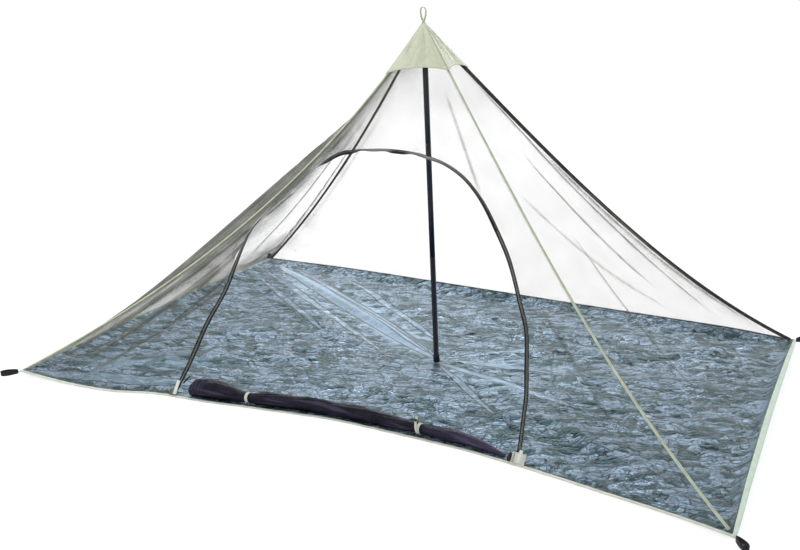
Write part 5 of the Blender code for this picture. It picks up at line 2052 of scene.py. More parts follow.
@dataclass(frozen=True)
class GroundSheet(Part):
    """The coated floor: flat on the ground under folds and crinkles, rising to its hems."""

    thickness: float = 0.0008
    columns: int = 258
    rows: int = 176
    edge_inset: float = 0.001
    pole_clear: Pair = (0.03, 0.075)
    fold_fade: Pair = (0.03, 0.13)
    pole_flat: Pair = (0.1, 0.2)
    crinkle_fade: Pair = (0.004, 0.026)
    roll_fade: Pair = (0.045, 0.075)
    crinkle_height: float = 0.015
    calmest: float = 0.92
    warp: Pair = (0.045, 0.035)
    folds: tuple[Crease, ...] = table(
        Crease, (-1.02, 0.54, -0.12, 0.1, 0.045, 0.01), (-0.98, 0.42, -0.2, -0.08, 0.05, 0.008),
        (-0.8, 0.5, 0.02, 0.3, 0.05, 0.009), (-0.95, -0.48, -0.3, -0.05, 0.05, 0.009),
        (-0.98, -0.36, -0.55, 0.12, 0.05, 0.007), (0.16, -0.03, 0.98, -0.5, 0.05, 0.01),
        (0.3, -0.26, 0.96, -0.36, 0.045, 0.007), (0.2, 0.1, 0.98, 0.5, 0.05, 0.009),
        (0.42, 0.02, 1.0, 0.16, 0.05, 0.008), (0.1, 0.3, 0.72, 0.44, 0.05, 0.008),
        (-0.42, -0.3, 0.24, -0.28, 0.05, 0.007), (0.7, -0.46, 0.78, 0.2, 0.05, 0.006))
    tension: tuple[Crease, ...] = table(
        Crease, (-1.06, 0.58, -0.04, 0.04, 0.014, 0.0045), (-1.0, 0.46, -0.06, 0.0, 0.012, 0.004),
        (-0.9, 0.56, 0.0, 0.14, 0.013, 0.004), (-0.98, 0.3, -0.16, -0.06, 0.012, 0.0035),
        (0.07, -0.04, 0.6, -0.2, 0.012, 0.0045), (0.08, -0.06, 0.46, -0.34, 0.01, 0.004),
        (0.07, 0.02, 0.66, 0.05, 0.012, 0.004), (0.06, 0.06, 0.52, 0.26, 0.011, 0.0035),
        (0.5, -0.24, 1.06, -0.58, 0.013, 0.0045), (0.6, 0.22, 1.06, 0.58, 0.013, 0.0045),
        (-0.6, -0.24, -1.06, -0.57, 0.013, 0.0045), (-0.3, -0.14, -0.72, -0.36, 0.012, 0.004),
        (0.14, -0.36, 0.4, -0.4, 0.01, 0.0035), (-0.5, 0.16, -0.2, -0.2, 0.01, 0.003))
    smooth_bands: tuple[Crease, ...] = table(
        Crease, (-1.0, 0.52, 0.06, -0.04, 0.045, 0.95), (-0.86, 0.52, 0.08, 0.04, 0.035, 0.9),
        (0.0, 0.02, 0.5, 0.1, 0.03, 0.7), (-0.02, -0.02, 0.5, -0.14, 0.03, 0.7),
        (-1.06, -0.48, -0.55, -0.3, 0.06, 0.7))

    def edge(self, side: Side, count: int, push: tuple[int, int]) -> Array:
        """Draw a side's edge in a little from the hem.

        Args:
            side: The side.
            count: How many points the edge has.
            push: The way inward.

        Returns:
            The edge's points, running +X or +Y.
        """
        line = WALLS[side].hem_line(evenly(count))
        if side in (Side.BACK, Side.LEFT):
            line = line[::-1]
        line = line.copy()
        line[:, :2] += np.array(push) * self.edge_inset
        other = 1 if push[0] else 0
        line[0, other] += self.edge_inset
        line[-1, other] -= self.edge_inset
        return line

    def crinkles(self, x: Array, y: Array) -> Array:
        """Crumpled relief: facets on the left, long crinkles along the right.

        Args:
            x: Places along the tent.
            y: Places across it.

        Returns:
            The relief's height at each place.
        """
        warp_x = x + self.warp[0] * GradientNoise(3).at(x / 0.16, y / 0.13)
        warp_y = y + self.warp[1] * GradientNoise(4).at(x / 0.15, y / 0.12)

        def creased(seed: int, wide: float, deep: float) -> Array:
            """Noise folded along lines, one cell this wide and deep."""
            return np.abs(GradientNoise(seed).at(warp_x / wide, warp_y / deep))

        facets = 0.3 * (1 - creased(5, 0.11, 0.095)) + 0.45 * creased(6, 0.056, 0.052)
        facets += 0.3 * (1 - creased(7, 0.033, 0.03))
        strokes = 0.3 * (1 - creased(8, 0.19, 0.07)) + 0.45 * creased(9, 0.09, 0.042)
        strokes += 0.3 * (1 - creased(12, 0.048, 0.027))
        left = 1 - smoothstep(-0.35, 0.15, x + 0.2 * y)
        calm = 0.6 + 0.4 * smoothstep(-0.4, 0.4, GradientNoise(10).at(x / 0.3, y / 0.22))
        form = left * facets + (1 - left) * strokes
        return (form - form.min()) * calm * self.crinkle_height

    def build(self) -> Piece:
        """Make the floor sheet.

        Returns:
            Its object.
        """
        front = self.edge(Side.FRONT, self.columns, (0, 1))
        back = self.edge(Side.BACK, self.columns, (0, -1))
        left = self.edge(Side.LEFT, self.rows, (1, 0))
        right = self.edge(Side.RIGHT, self.rows, (-1, 0))
        u = evenly(self.columns)[None, :, None]
        v = evenly(self.rows)[:, None, None]
        grid = (1 - v) * front[None] + v * back[None] + (1 - u) * left[:, None] + u * right[:, None]
        grid -= (1 - v) * ((1 - u) * front[0] + u * front[-1]) + v * ((1 - u) * back[0] + u * back[-1])
        x = grid[..., 0]
        y = grid[..., 1]
        shape = grid.shape[:2]
        edges = zip(
            (Side.FRONT, Side.BACK, Side.LEFT, Side.RIGHT),
            (front[None], back[None], left[:, None], right[:, None]))
        sides = [(WALLS[side], np.broadcast_to(edge, grid.shape)) for side, edge in edges]
        away = np.stack([np.linalg.norm(grid[..., :2] - edge[..., :2], axis=-1) for _, edge in sides])
        nearest = away.min(axis=0)
        pole = smoothstep(*self.pole_flat, np.hypot(x, y))
        folds = crease_height(self.folds, x, y) * pole * smoothstep(*self.fold_fade, nearest)
        clear = smoothstep(*self.pole_clear, np.hypot(x - POLE_FOOT[0], y - POLE_FOOT[1]))
        edge_fade = smoothstep(*self.crinkle_fade, nearest)
        calm = np.clip(crease_height(self.smooth_bands, x, y), 0.0, self.calmest)
        relief = self.crinkles(x, y) * (1 - calm) + crease_height(self.tension, x, y)
        relief = relief * clear * edge_fade
        relief *= smoothstep(*self.roll_fade, np.maximum(away[0], RolledDoor(self.shop).beyond(x)))
        level = GROUND_LIFT + folds + relief
        rises = np.stack([np.clip(1 - far / wall.edge_rise, 0, 1) for far, (wall, _) in zip(away, sides)])
        heights = np.stack([edge[..., 2] for _, edge in sides])
        order = np.lexsort((heights, rises), axis=0)
        for place in range(4):
            picked = order[place][None]
            rise = np.take_along_axis(rises, picked, axis=0)[0]
            height = np.take_along_axis(heights, picked, axis=0)[0]
            level = level + (height - level) * rise
        grid[..., 2] = level
        grid[0], grid[-1] = front, back
        grid[:, 0], grid[:, -1] = left, right
        item = add_sheet(
            "ground_sheet", grid, np.stack((x, y), axis=-1).reshape(*shape, 2), self.thickness,
            self.shop.material(Finish.FLOOR), UP, {"crumple": 1 - calm})
        return self.shop.keep(item, "floor")


# ---- cap


@dataclass(frozen=True)
class Cap(Part):
    """Four coated gores over the peak with their seams and stitched edge."""

    thickness: float = 0.0008
    distance: float = 0.004
    inset: float = 0.0004
    dip: float = 0.01
    first_step: float = 0.035
    rows: int = 34
    columns: int = 40
    top: float = 0.9985
    wrinkle: float = 0.0016
    hem_up: float = 0.006
    stitch_pitch: float = 0.004

    def gore_grid(self, wall: Wall) -> Array:
        """A gore's middle surface, from its edge up to the peak.

        Args:
            wall: The wall below it.

        Returns:
            Its grid of points.
        """
        ups = np.linspace(CAP_EDGE, self.top, self.rows)
        start = Seam.along(wall.start, ups)
        end = Seam.along(wall.end, ups)
        first = start.offset(self.distance) + start.right_in * self.inset
        last = end.offset(self.distance) + end.left_in * self.inset
        share = evenly(self.columns)[None, :, None]
        grid = first[:, None] * (1 - share) + last[:, None] * share
        rise = (first[-1] - first[0] + last[-1] - last[0]) / 2 / (self.top - CAP_EDGE)
        fade = np.clip(1 - (ups - CAP_EDGE) / self.first_step, 0.0, 1.0)[:, None, None]
        grid = grid + rise * (4 * share * (1 - share) * self.dip) * fade
        normal = unit(wall.normal)
        noise = GradientNoise(21 + len(wall.side.value))
        height = (1 - evenly(self.rows))[:, None]
        spread = evenly(self.columns)[None, :]
        folds = noise.at(spread * 5.0 + 0.4 * height, height * 1.6)
        folds += 0.6 * noise.at(spread * 11.0, height * 3.0)
        seams = np.sqrt(np.sin(np.pi * spread).clip(0, 1)) * smoothstep(0.0, 0.25, height)
        return grid + normal * (folds * seams * self.wrinkle)[..., None]

    def build(self) -> list[Piece]:
        """Make the four gores with their stitches."""
        return [self.gore(WALLS[side]) for side in Side]

    def gore(self, wall: Wall) -> Piece:
        """Make one gore, its edge stitching and the stitching down its left seam.

        Args:
            wall: The wall below it.

        Returns:
            The gore's object.
        """
        grid = self.gore_grid(wall)
        normal = unit(wall.normal)
        middle = grid[:, self.columns // 2]
        rise = run_lengths(middle)
        width = np.linalg.norm(grid[:, -1] - grid[:, 0], axis=1)[:, None]
        across = (evenly(self.columns)[None, :] - 0.5) * width
        uv = np.stack((across, np.broadcast_to(rise[:, None], across.shape)), axis=-1)
        name = f"cap_gore_{wall.side.value}"
        crumple = {"crumple": np.ones(across.shape)}
        item = add_sheet(name, grid, uv, self.thickness, self.shop.material(Finish.CAP), normal, crumple)
        lift = normal * self.thickness * 0.6
        row = int(self.hem_up / (rise[1] - rise[0]) + 0.5)
        hem = Places.along(grid[row] + lift, normal, self.stitch_pitch)
        seam = Places.along(grid[:-3, 1] + lift, normal, self.stitch_pitch)
        self.shop.stitches(f"cap_stitches_{wall.side.value}", hem.joined(seam))
        return self.shop.keep(item, f"cap_{wall.side.value}")


# ---- doorway's zip


@dataclass(frozen=True)
class TwistRow:
    """How far the zip's free edge is turned out at a share of the arch, and how much painted highlight it
    shows there.
    """

    share: float
    degrees: float
    pale: float


@dataclass(frozen=True)
class TabSize:
    """A sewn tab: a base with a narrower tongue standing on it."""

    base_width: float
    base_height: float
    tongue_width: float
    tongue_height: float
    tongue_shift: float


def add_plate(name: str, outline: Array, thickness: Array, material: Material, round_off: float) -> Piece:
    """Make a small plate of any outline with rounded edges.

    Args:
        name: The piece's name.
        outline: Its corners.
        thickness: The vector from its back to its face.
        material: Its material.
        round_off: How far its edges are rounded.

    Returns:
        The plate's object.
    """
    count = len(outline)
    points = np.concatenate((outline, outline + thickness))
    shape = bmesh.new()
    made = [shape.verts.new(point) for point in points]
    shape.faces.new(made[:count][::-1])
    shape.faces.new(made[count:])
    for side in range(count):
        after = (side + 1) % count
        shape.faces.new((made[side], made[after], made[after + count], made[side + count]))
    bmesh.ops.recalc_face_normals(shape, faces=shape.faces)
    bmesh.ops.bevel(
        shape, geom=list(shape.edges), offset=round_off, segments=2, profile=0.6, affect="EDGES")
    run = unit(outline[1] - outline[0])
    rise = unit(np.cross(thickness, run))
    layer = shape.loops.layers.uv.new("Cloth")
    for face in shape.faces:
        for loop in face.loops:
            place = np.array(loop.vert.co) - outline[0]
            loop[layer].uv = (place @ run, place @ rise)
    mesh = bpy.data.meshes.new(name)
    shape.to_mesh(mesh)
    shape.free()
    mesh.materials.append(material)
    mesh.shade_smooth()
    return link(name, mesh)


@dataclass(frozen=True)
class DoorZip(Part):
    """The fixed half of the door's zip with its tabs and slider."""

    width: float = 0.0115
    thickness: float = 0.001
    gap: float = 0.0006
    stations: int = 420
    coil_pitch: float = 0.0026
    leg_share: float = 0.3
    guide_width: float = 0.0024
    guide_thickness: float = 0.0006
    stitch_pitch: float = 0.004
    coil_turn: Triple = (0.0024, 0.0026, 0.0018)
    tab_turn: Triple = (0.003, 0.0052, 0.0018)
    steps: int = 12
    border_pitch: float = 0.0026
    border_stitch: Triple = (0.002, 0.0005, 0.0004)
    piping_radius: float = 0.0009
    tab_stand_off: float = 0.0024
    tab_drop: float = 0.0022
    tab_thickness: float = 0.0022
    left_tab_across: float = -0.577
    right_tab_across: float = 0.519
    slider_half_width: float = 0.006
    slider_thickness: float = 0.0055
    slider_drop: float = 0.0006
    left_tab: TabSize = TabSize(0.028, 0.02, 0.011, 0.026, 0.006)
    right_tab: TabSize = TabSize(0.04, 0.03, 0.011, 0.008, 0.002)
    twist: tuple[TwistRow, ...] = table(
        TwistRow, (0.0, 0.0, 0.0), (0.1, -20.0, 0.0), (0.2, 10.0, 0.0), (0.27, 45.0, 0.0),
        (0.32, 62.0, 0.5), (0.375, 60.0, 0.9), (0.395, 8.0, 0.0), (0.425, 0.0, 0.0), (0.445, 62.0, 0.3),
        (0.465, 40.0, 1.0), (0.483, 48.0, 1.0), (0.495, 5.0, 0.0), (0.508, 10.0, 0.0), (0.525, 55.0, 0.7),
        (0.55, 35.0, 1.0), (0.58, 55.0, 0.6), (0.64, 58.0, 0.2), (0.7, 30.0, 0.0), (0.78, 5.0, 0.0),
        (0.84, 55.0, 0.0), (0.92, 10.0, 0.0), (1.0, 0.0, 0.0))

    def build(self) -> None:
        """Make the tape, its coil, its piping, the tabs and the slider."""
        shares = np.linspace(0.004, 0.996, self.stations)
        points, tangents, inward, normals = Doorway().edge(shares)
        turn = np.radians(soft_field(self.twist, "degrees", shares))[:, None]
        # Painted highlight: the tape is drawn paler where it turns out.
        pale = {"pale": soft_field(self.twist, "pale", shares)}
        flat = inward * np.cos(turn) + normals * np.sin(turn)
        middle = points + inward * self.gap + flat * self.width / 2
        black = self.shop.material(Finish.ZIP)
        tape = add_ribbon("zip_tape", middle, flat, self.width, self.thickness, black, pale)
        self.shop.keep(tape, "zip_arch")
        out = unit(np.cross(flat, tangents))
        out = out * np.sign(np.sum(out * normals, axis=1, keepdims=True))
        teeth = points + inward * self.gap + flat * (self.width - 0.0018) + out * 0.0009
        self.coil("zip_coil", Places.along(teeth, out, self.coil_pitch), self.coil_turn)
        piping = points + inward * (self.gap * 0.5) + normals * 0.0007
        self.shop.keep(
            add_tube("zip_piping", piping, self.piping_radius, self.shop.material(Finish.DARK_TAPE)))
        for side, chosen in (("left", shares < self.leg_share), ("right", shares > 1 - self.leg_share)):
            line = middle + out * (self.thickness / 2 + 0.0004)
            guide = add_ribbon(
                f"zip_guide_{side}", line[chosen], flat[chosen], self.guide_width, self.guide_thickness,
                self.shop.material(Finish.GUIDE))
            self.shop.keep(guide)
        seat = points + inward * self.gap + flat * 0.003 + out * (self.thickness / 2)
        self.shop.stitches("zip_stitches", Places.along(seat, out, self.stitch_pitch), Finish.THREAD)
        self.tab("left", self.left_tab_across, self.left_tab)
        self.tab("right", self.right_tab_across, self.right_tab)
        self.slider()

    def coil(self, name: str, places: Places, size: Triple) -> None:
        """Set the turns of a coil on their places."""
        self.shop.keep(
            self.shop.repeater.make(name, Unit.COIL_TURN, places, size, self.shop.material(Finish.PLASTIC)))

    def tab(self, side: str, across: float, size: TabSize) -> None:
        """Make a sewn tab outside the wall at a foot of the zip, with its stitched border.

        Args:
            side: Left or right.
            across: Its distance from the hem's middle.
            size: Its measures.
        """
        point, level, rise, out = Doorway().frame(across, 0.0)
        origin = point + out * self.tab_stand_off - rise * self.tab_drop
        half = size.base_width / 2
        base = ((-half, 0.0), (half, 0.0), (half, size.base_height), (-half, size.base_height))
        outline = np.array([origin + level * aside + rise * up for aside, up in base])
        thick = out * self.tab_thickness * 0.8
        base_finish = Finish.GUIDE if side == "left" else Finish.PIPING
        plate = add_plate(f"zip_tab_base_{side}", outline, thick, self.shop.material(base_finish), 0.0006)
        self.shop.keep(plate, f"zip_tab_{side}")
        start = size.tongue_shift - size.tongue_width / 2
        end = size.tongue_shift + size.tongue_width / 2
        tip = size.base_height + size.tongue_height
        tongue = ((start, 0.004), (end, 0.004), (end + 0.001, tip), (start + 0.002, tip))
        outline = np.array([origin + level * aside + rise * up for aside, up in tongue])
        over = out * self.tab_thickness * 0.82
        fold = add_plate(
            f"zip_tab_tongue_{side}", outline + over, thick * 0.6, self.shop.material(Finish.WHITE), 0.0005)
        self.shop.keep(fold)
        face = origin + out * (self.tab_thickness * 0.8)
        inset = half - 0.002
        border = [(-inset, 0.002), (inset, 0.002), (inset, size.base_height - 0.002)]
        border += [(-inset, size.base_height - 0.002), (-inset, 0.002)]
        line = np.array([face + level * aside + rise * up for aside, up in border])
        fine = np.concatenate([np.linspace(a, b, self.steps)[:-1] for a, b in zip(line[:-1], line[1:])])
        places = Places.along(fine, out, self.border_pitch)
        self.shop.stitches(f"zip_tab_stitches_{side}", places, Finish.DARK_THREAD, self.border_stitch)
        foot = face - level * (inset - 0.004) + rise * 0.002
        run = evenly(self.steps)[:, None] * rise * (size.base_height - 0.004) + foot
        self.coil(f"zip_tab_coil_{side}", Places.along(run, out, self.coil_pitch), self.tab_turn)

    def slider(self) -> None:
        """Make the slider, parked against the side of the right tab."""
        point, level, rise, out = Doorway().frame(self.right_tab_across, 0.0)
        aside = self.right_tab.base_width / 2 + GAP + self.slider_half_width
        point = point - level * aside - rise * self.slider_drop
        rows = (
            (-0.003, 0.0), (0.003, 0.0), (self.slider_half_width, 0.006), (self.slider_half_width, 0.015),
            (0.002, 0.025), (-0.002, 0.025), (-self.slider_half_width, 0.015),
            (-self.slider_half_width, 0.006))
        outline = np.array([point + level * across + rise * up for across, up in rows])
        body = add_plate(
            "zip_slider_body", outline, out * self.slider_thickness, self.shop.material(Finish.PLASTIC),
            0.0008)
        self.shop.keep(body, "zip_slider")


# ---- rolled door


@dataclass(frozen=True)
class RollRow:
    """The rolled door's radius and its axis above the floor, at a distance along the front."""

    along: float
    radius: float
    axis: float


@dataclass(frozen=True)
class TieEndRow:
    """A place of the tie's free end: its turn round the roll, its lift and its shift."""

    degrees: float
    lift: float
    aside: float


@dataclass(frozen=True)
class RolledDoor(Part):
    """The door net, wound along the hem and held by two ties."""

    stations: int = 300
    sides: int = 56
    floor_gap: float = 0.0023
    hem_clearance: float = 0.004
    set_back: float = 0.35
    reach: float = 0.02
    widest: float = 0.027
    pinch: float = 0.008
    ties: Pair = (-0.34, 0.207)
    tie_width: float = 0.009
    tie_thickness: float = 0.0012
    tie_gap: float = 0.0003
    end_width: float = 0.007
    tail: Pair = (0.16, 0.46)
    tape_points: int = 40
    end_points: int = 60
    toggle_sides: int = 28
    toggle_radius: float = 0.0038
    wrinkle_shares: tuple[float, ...] = (0.1, 0.11, 0.1, 0.05)
    # Shares of the painted highlights on the folds and ribs and of the painted light on the tail.
    highlight_shares: Triple = (0.4, 0.3, 0.45)
    end_rings: int = 18
    end_turns: float = 5.0
    end_ridge: float = 0.0016
    end_hollow: float = 0.004
    tape_rise: float = 0.016
    ribbed: Pair = (-0.5, -0.47)
    rib_pitch: float = 0.0105
    rows: tuple[RollRow, ...] = table(
        RollRow, (-0.528, 0.019, 0.0165), (-0.52, 0.024, 0.0205), (-0.5, 0.0265, 0.0228),
        (-0.45, 0.027, 0.0232), (-0.4, 0.0225, 0.0194), (-0.368, 0.0175, 0.0165), (-0.348, 0.0145, 0.0159),
        (-0.332, 0.0145, 0.0159), (-0.31, 0.018, 0.016), (-0.265, 0.0205, 0.0176), (-0.2, 0.02, 0.0172),
        (-0.13, 0.021, 0.018), (-0.06, 0.0195, 0.0168), (0.01, 0.0205, 0.0176), (0.08, 0.019, 0.0164),
        (0.145, 0.0175, 0.016), (0.178, 0.0155, 0.0159), (0.199, 0.014, 0.0159), (0.215, 0.014, 0.0159),
        (0.24, 0.016, 0.0159), (0.3, 0.0175, 0.0159), (0.35, 0.015, 0.015), (0.4, 0.0115, 0.011),
        (0.44, 0.008, 0.0069), (0.472, 0.0045, 0.0039))
    end_route: tuple[TieEndRow, ...] = table(
        TieEndRow, (205.0, 0.0, 0.001), (180.0, 0.0, 0.003), (150.0, 0.0, 0.006), (120.0, 0.001, 0.009),
        (100.0, 0.004, 0.012), (85.0, 0.009, 0.013), (78.0, 0.016, 0.013))

    def beyond(self, x: Array) -> Array:
        """How far a place lies past the roll's ends, along the front."""
        return np.maximum(np.maximum(self.rows[0].along - x, x - self.rows[-1].along), 0.0)

    def looseness(self, along: Array) -> Array:
        """How far the net stands apart from the roll, 0 held tight to 1 free."""
        held = np.minimum(np.abs(along - self.ties[0]), np.abs(along - self.ties[1]))
        return smoothstep(self.pinch, 0.05, held)

    def rings(self, alongs: Array, wrinkled: bool = True) -> Array:
        """Rings round the roll, flattened where it lies on the floor.

        Args:
            alongs: Distances along the front.
            wrinkled: Whether the folds of the wound net are added.

        Returns:
            The rings' points.
        """
        radius = soft_field(self.rows, "radius", alongs)
        axis = soft_field(self.rows, "axis", alongs)
        line = WALLS[Side.FRONT].hem_line(evenly(240))
        hem, before, after = (
            np.interp(alongs + shift, line[:, 0], line[:, 1]) for shift in (0.0, -self.reach, self.reach))
        square = unit(np.column_stack((-(after - before) / (2 * self.reach), np.ones(len(alongs)))))
        far = self.hem_clearance + radius + self.set_back * (self.widest - radius)
        turn = full_turn(self.sides)[None, :]
        place = alongs[:, None]
        girth = radius[:, None] * np.ones_like(turn)
        loose = self.looseness(alongs)[:, None]
        girth = girth * (1 + 0.035 * loose * np.sin(2 * turn + 14.0 * place))
        if wrinkled:
            girth = girth * (1 + self.wrinkles(place, turn, loose))
        out = far[:, None] + girth * np.cos(turn)
        height = self.floor_gap + np.maximum(0.0, axis[:, None] + girth * np.sin(turn))
        x = place + square[:, :1] * out
        y = hem[:, None] + square[:, 1:] * out
        return np.stack((x, y, height), axis=-1)

    def wrinkles(self, place: Array, turn: Array, loose: Array) -> Array:
        """Relief of the wound net as a share of the roll's radius.

        Args:
            place: Distances along the roll.
            turn: Angles round it.
            loose: How loose it lies there.

        Returns:
            The relief at each place.
        """
        slant = turn + 5.0 * place
        coarse = GradientNoise(31, 64)
        fine = GradientNoise(32, 64)
        round_x = np.cos(slant) * 1.1
        round_y = np.sin(slant) * 1.1
        lumps = coarse.at(place / 0.05 + round_x, round_y + 7.0)
        strokes = fine.at(place / 0.11 + 3.0 * round_x, 3.2 * round_y + 21.0)
        pleats = np.cos(14 * turn + 9 * np.sin(40 * place)) * (1 - loose)
        grooves = fine.ridged(place / 0.16 + 5.0 * round_x, 5.0 * round_y + 40.0) - 0.5
        lump, stroke, groove, pleat = self.wrinkle_shares
        return loose * (lump * lumps + stroke * strokes + groove * grooves) + pleat * pleats - 0.03

    def build(self) -> None:
        """Make the roll with its wound end, then its ties and toggle."""
        alongs = np.linspace(self.rows[0].along, self.rows[-1].along, self.stations)
        rings = self.rings(alongs)
        rings = np.concatenate((self.wound_end(rings[0], rings[1]), rings))
        places = np.concatenate((np.full(len(rings) - len(alongs), alongs[0]), alongs))
        # Painted highlights, carried as the pale mark.
        pale = {"pale": self.highlight_paleness(places)}
        item = add_loft("rolled_door", rings, self.shop.material(Finish.ROLL), pale)
        self.shop.keep(item, "door_roll")
        self.door_tape()
        for side, along in zip(("left", "right"), self.ties):
            self.tie(side, along)

    def door_tape(self) -> None:
        """Make the door's own zip tape, which arcs from the left foot of the arch into the roll."""
        zipper = DoorZip(self.shop)
        start, _, _, out = Doorway().frame(zipper.left_tab_across + 0.016, 0.046)
        ring = self.rings(np.array([self.rows[2].along]), False)[0]
        landing = ring[int(self.sides * 0.27)] + UP * 0.0012
        peak = (start + landing) / 2 + UP * self.tape_rise
        line = soft_line([start, start * 0.4 + peak * 0.6 + UP * 0.003, peak, landing], self.tape_points)
        tape = add_ribbon(
            "door_zip_tape", line, out, zipper.width * 0.55, zipper.thickness,
            self.shop.material(Finish.ZIP))
        self.shop.keep(tape)

    def highlight_paleness(self, places: Array) -> Array:
        """Painted highlights on the net's folds and end ribs, and painted light on its thin loose tail.

        Args:
            places: Distances along the roll.

        Returns:
            The painted light round each ring.
        """
        turn = full_turn(self.sides)[None, :]
        along = places[:, None] + 0.0 * turn
        noise = GradientNoise(51, 64)
        # Painted highlights on the loose folds.
        folds = noise.at(along / 0.1 + np.cos(turn) * 2.2, np.sin(turn) * 2.2 + 9.0)
        folds = smoothstep(0.1, 0.55, folds) * self.looseness(places)[:, None]
        # Painted light and shade: pale crests and dark hollows of the ribs at the wound end.
        ribs = 0.5 + 0.5 * np.cos(2 * np.pi * along / self.rib_pitch)
        ribs *= 1 - smoothstep(*self.ribbed, along)
        fold, rib, tail = self.highlight_shares
        return np.clip(fold * folds + rib * ribs + tail * smoothstep(*self.tail, along), 0, 1)

    def wound_end(self, ring: Array, following: Array) -> Array:
        """Close the roll's end with the ridges of its turns.

        Args:
            ring: The roll's first ring.
            following: The one after it.

        Returns:
            The rings of the end.
        """
        centre = ring.mean(axis=0)
        run = unit(centre - following.mean(axis=0))
        shares = np.linspace(0.1, 0.97, self.end_rings)
        phase = np.arange(self.sides) / self.sides
        made = []
        for share in shares:
            ridge = self.end_ridge * np.cos(2 * np.pi * (share * self.end_turns - phase))
            depth = ridge - self.end_hollow * (1 - share)
            made.append(centre + (ring - centre) * share + run * (0.001 + depth)[:, None])
        return np.array(made)

    def tie(self, side: str, along: float) -> None:
        """Make a tie round the roll, and the right one's free end with its toggle.

        Args:
            side: Left or right.
            along: Its place along the roll.
        """
        before, after = self.rings(np.array((along - self.pinch, along + self.pinch)), False)
        run = unit(after.mean(axis=0) - before.mean(axis=0))
        middle = (before + after) / 2
        centre = middle.mean(axis=0)
        radius = np.linalg.norm(middle - centre, axis=1, keepdims=True)
        away = (middle - centre) / radius
        half = self.tie_width / 2
        near = radius + self.tie_gap
        far = near + self.tie_thickness
        profile = ((-half, near), (half, near), (half * 1.04, (near + far) / 2), (half, far))
        profile += ((0.0, far * 1.01), (-half, far), (-half * 1.04, (near + far) / 2))
        turns = full_turn(self.sides)[:, None]
        lean = run * 0.0012 * np.sin(2 * turns)
        rings = np.stack([centre + away * reach + run * aside + lean for aside, reach in profile], axis=1)
        band = add_loft(f"tie_band_{side}", rings, self.shop.material(Finish.PIPING), closed=True)
        self.shop.keep(band, f"tie_{side}")
        if side == "right":
            self.free_end(centre, run, float(far.max()))

    def free_end(self, centre: Array, run: Array, radius: float) -> None:
        """Make the right tie's free end, which climbs over the roll, and its toggle.

        Args:
            centre: The roll's middle at the tie.
            run: The roll's direction there.
            radius: The tie's outer radius.
        """
        level = unit(np.array((-run[1], run[0], 0.0)))
        radius += TAPE_GAP
        places = []
        aways = []
        for row in self.end_route:
            turn = math.radians(row.degrees)
            away = level * math.cos(turn) + UP * math.sin(turn)
            places.append(centre + away * (radius + row.lift + self.tie_thickness / 2) - run * row.aside)
            aways.append(away)
        line = soft_line(places, self.end_points)
        tape = add_ribbon(
            "tie_free_end", line, run, self.end_width, self.tie_thickness,
            self.shop.material(Finish.PIPING))
        self.shop.keep(tape, "tie_right_end")
        away = aways[4]
        side = np.cross(away, run)
        lift = self.tie_thickness / 2 + 2 * TAPE_GAP + self.toggle_radius
        middle = places[4] + away * lift - run * 0.004
        rows = ((-0.008, 0.002), (-0.0077, 0.003), (-0.0066, 0.0037), (-0.002, 0.0038))
        rows += ((-0.0012, 0.0033), (0.0012, 0.0033), (0.002, 0.0038), (0.0066, 0.0037))
        rows += ((0.0077, 0.003), (0.008, 0.002))
        circle = [away * math.cos(turn) + side * math.sin(turn) for turn in full_turn(self.toggle_sides)]
        rings = [[middle + run * at + spoke * size for spoke in circle] for at, size in rows]
        toggle = add_loft("tie_toggle_bar", np.array(rings), self.shop.material(Finish.PLASTIC))
        self.shop.keep(toggle, "tie_toggle")


# ---- loops and pole


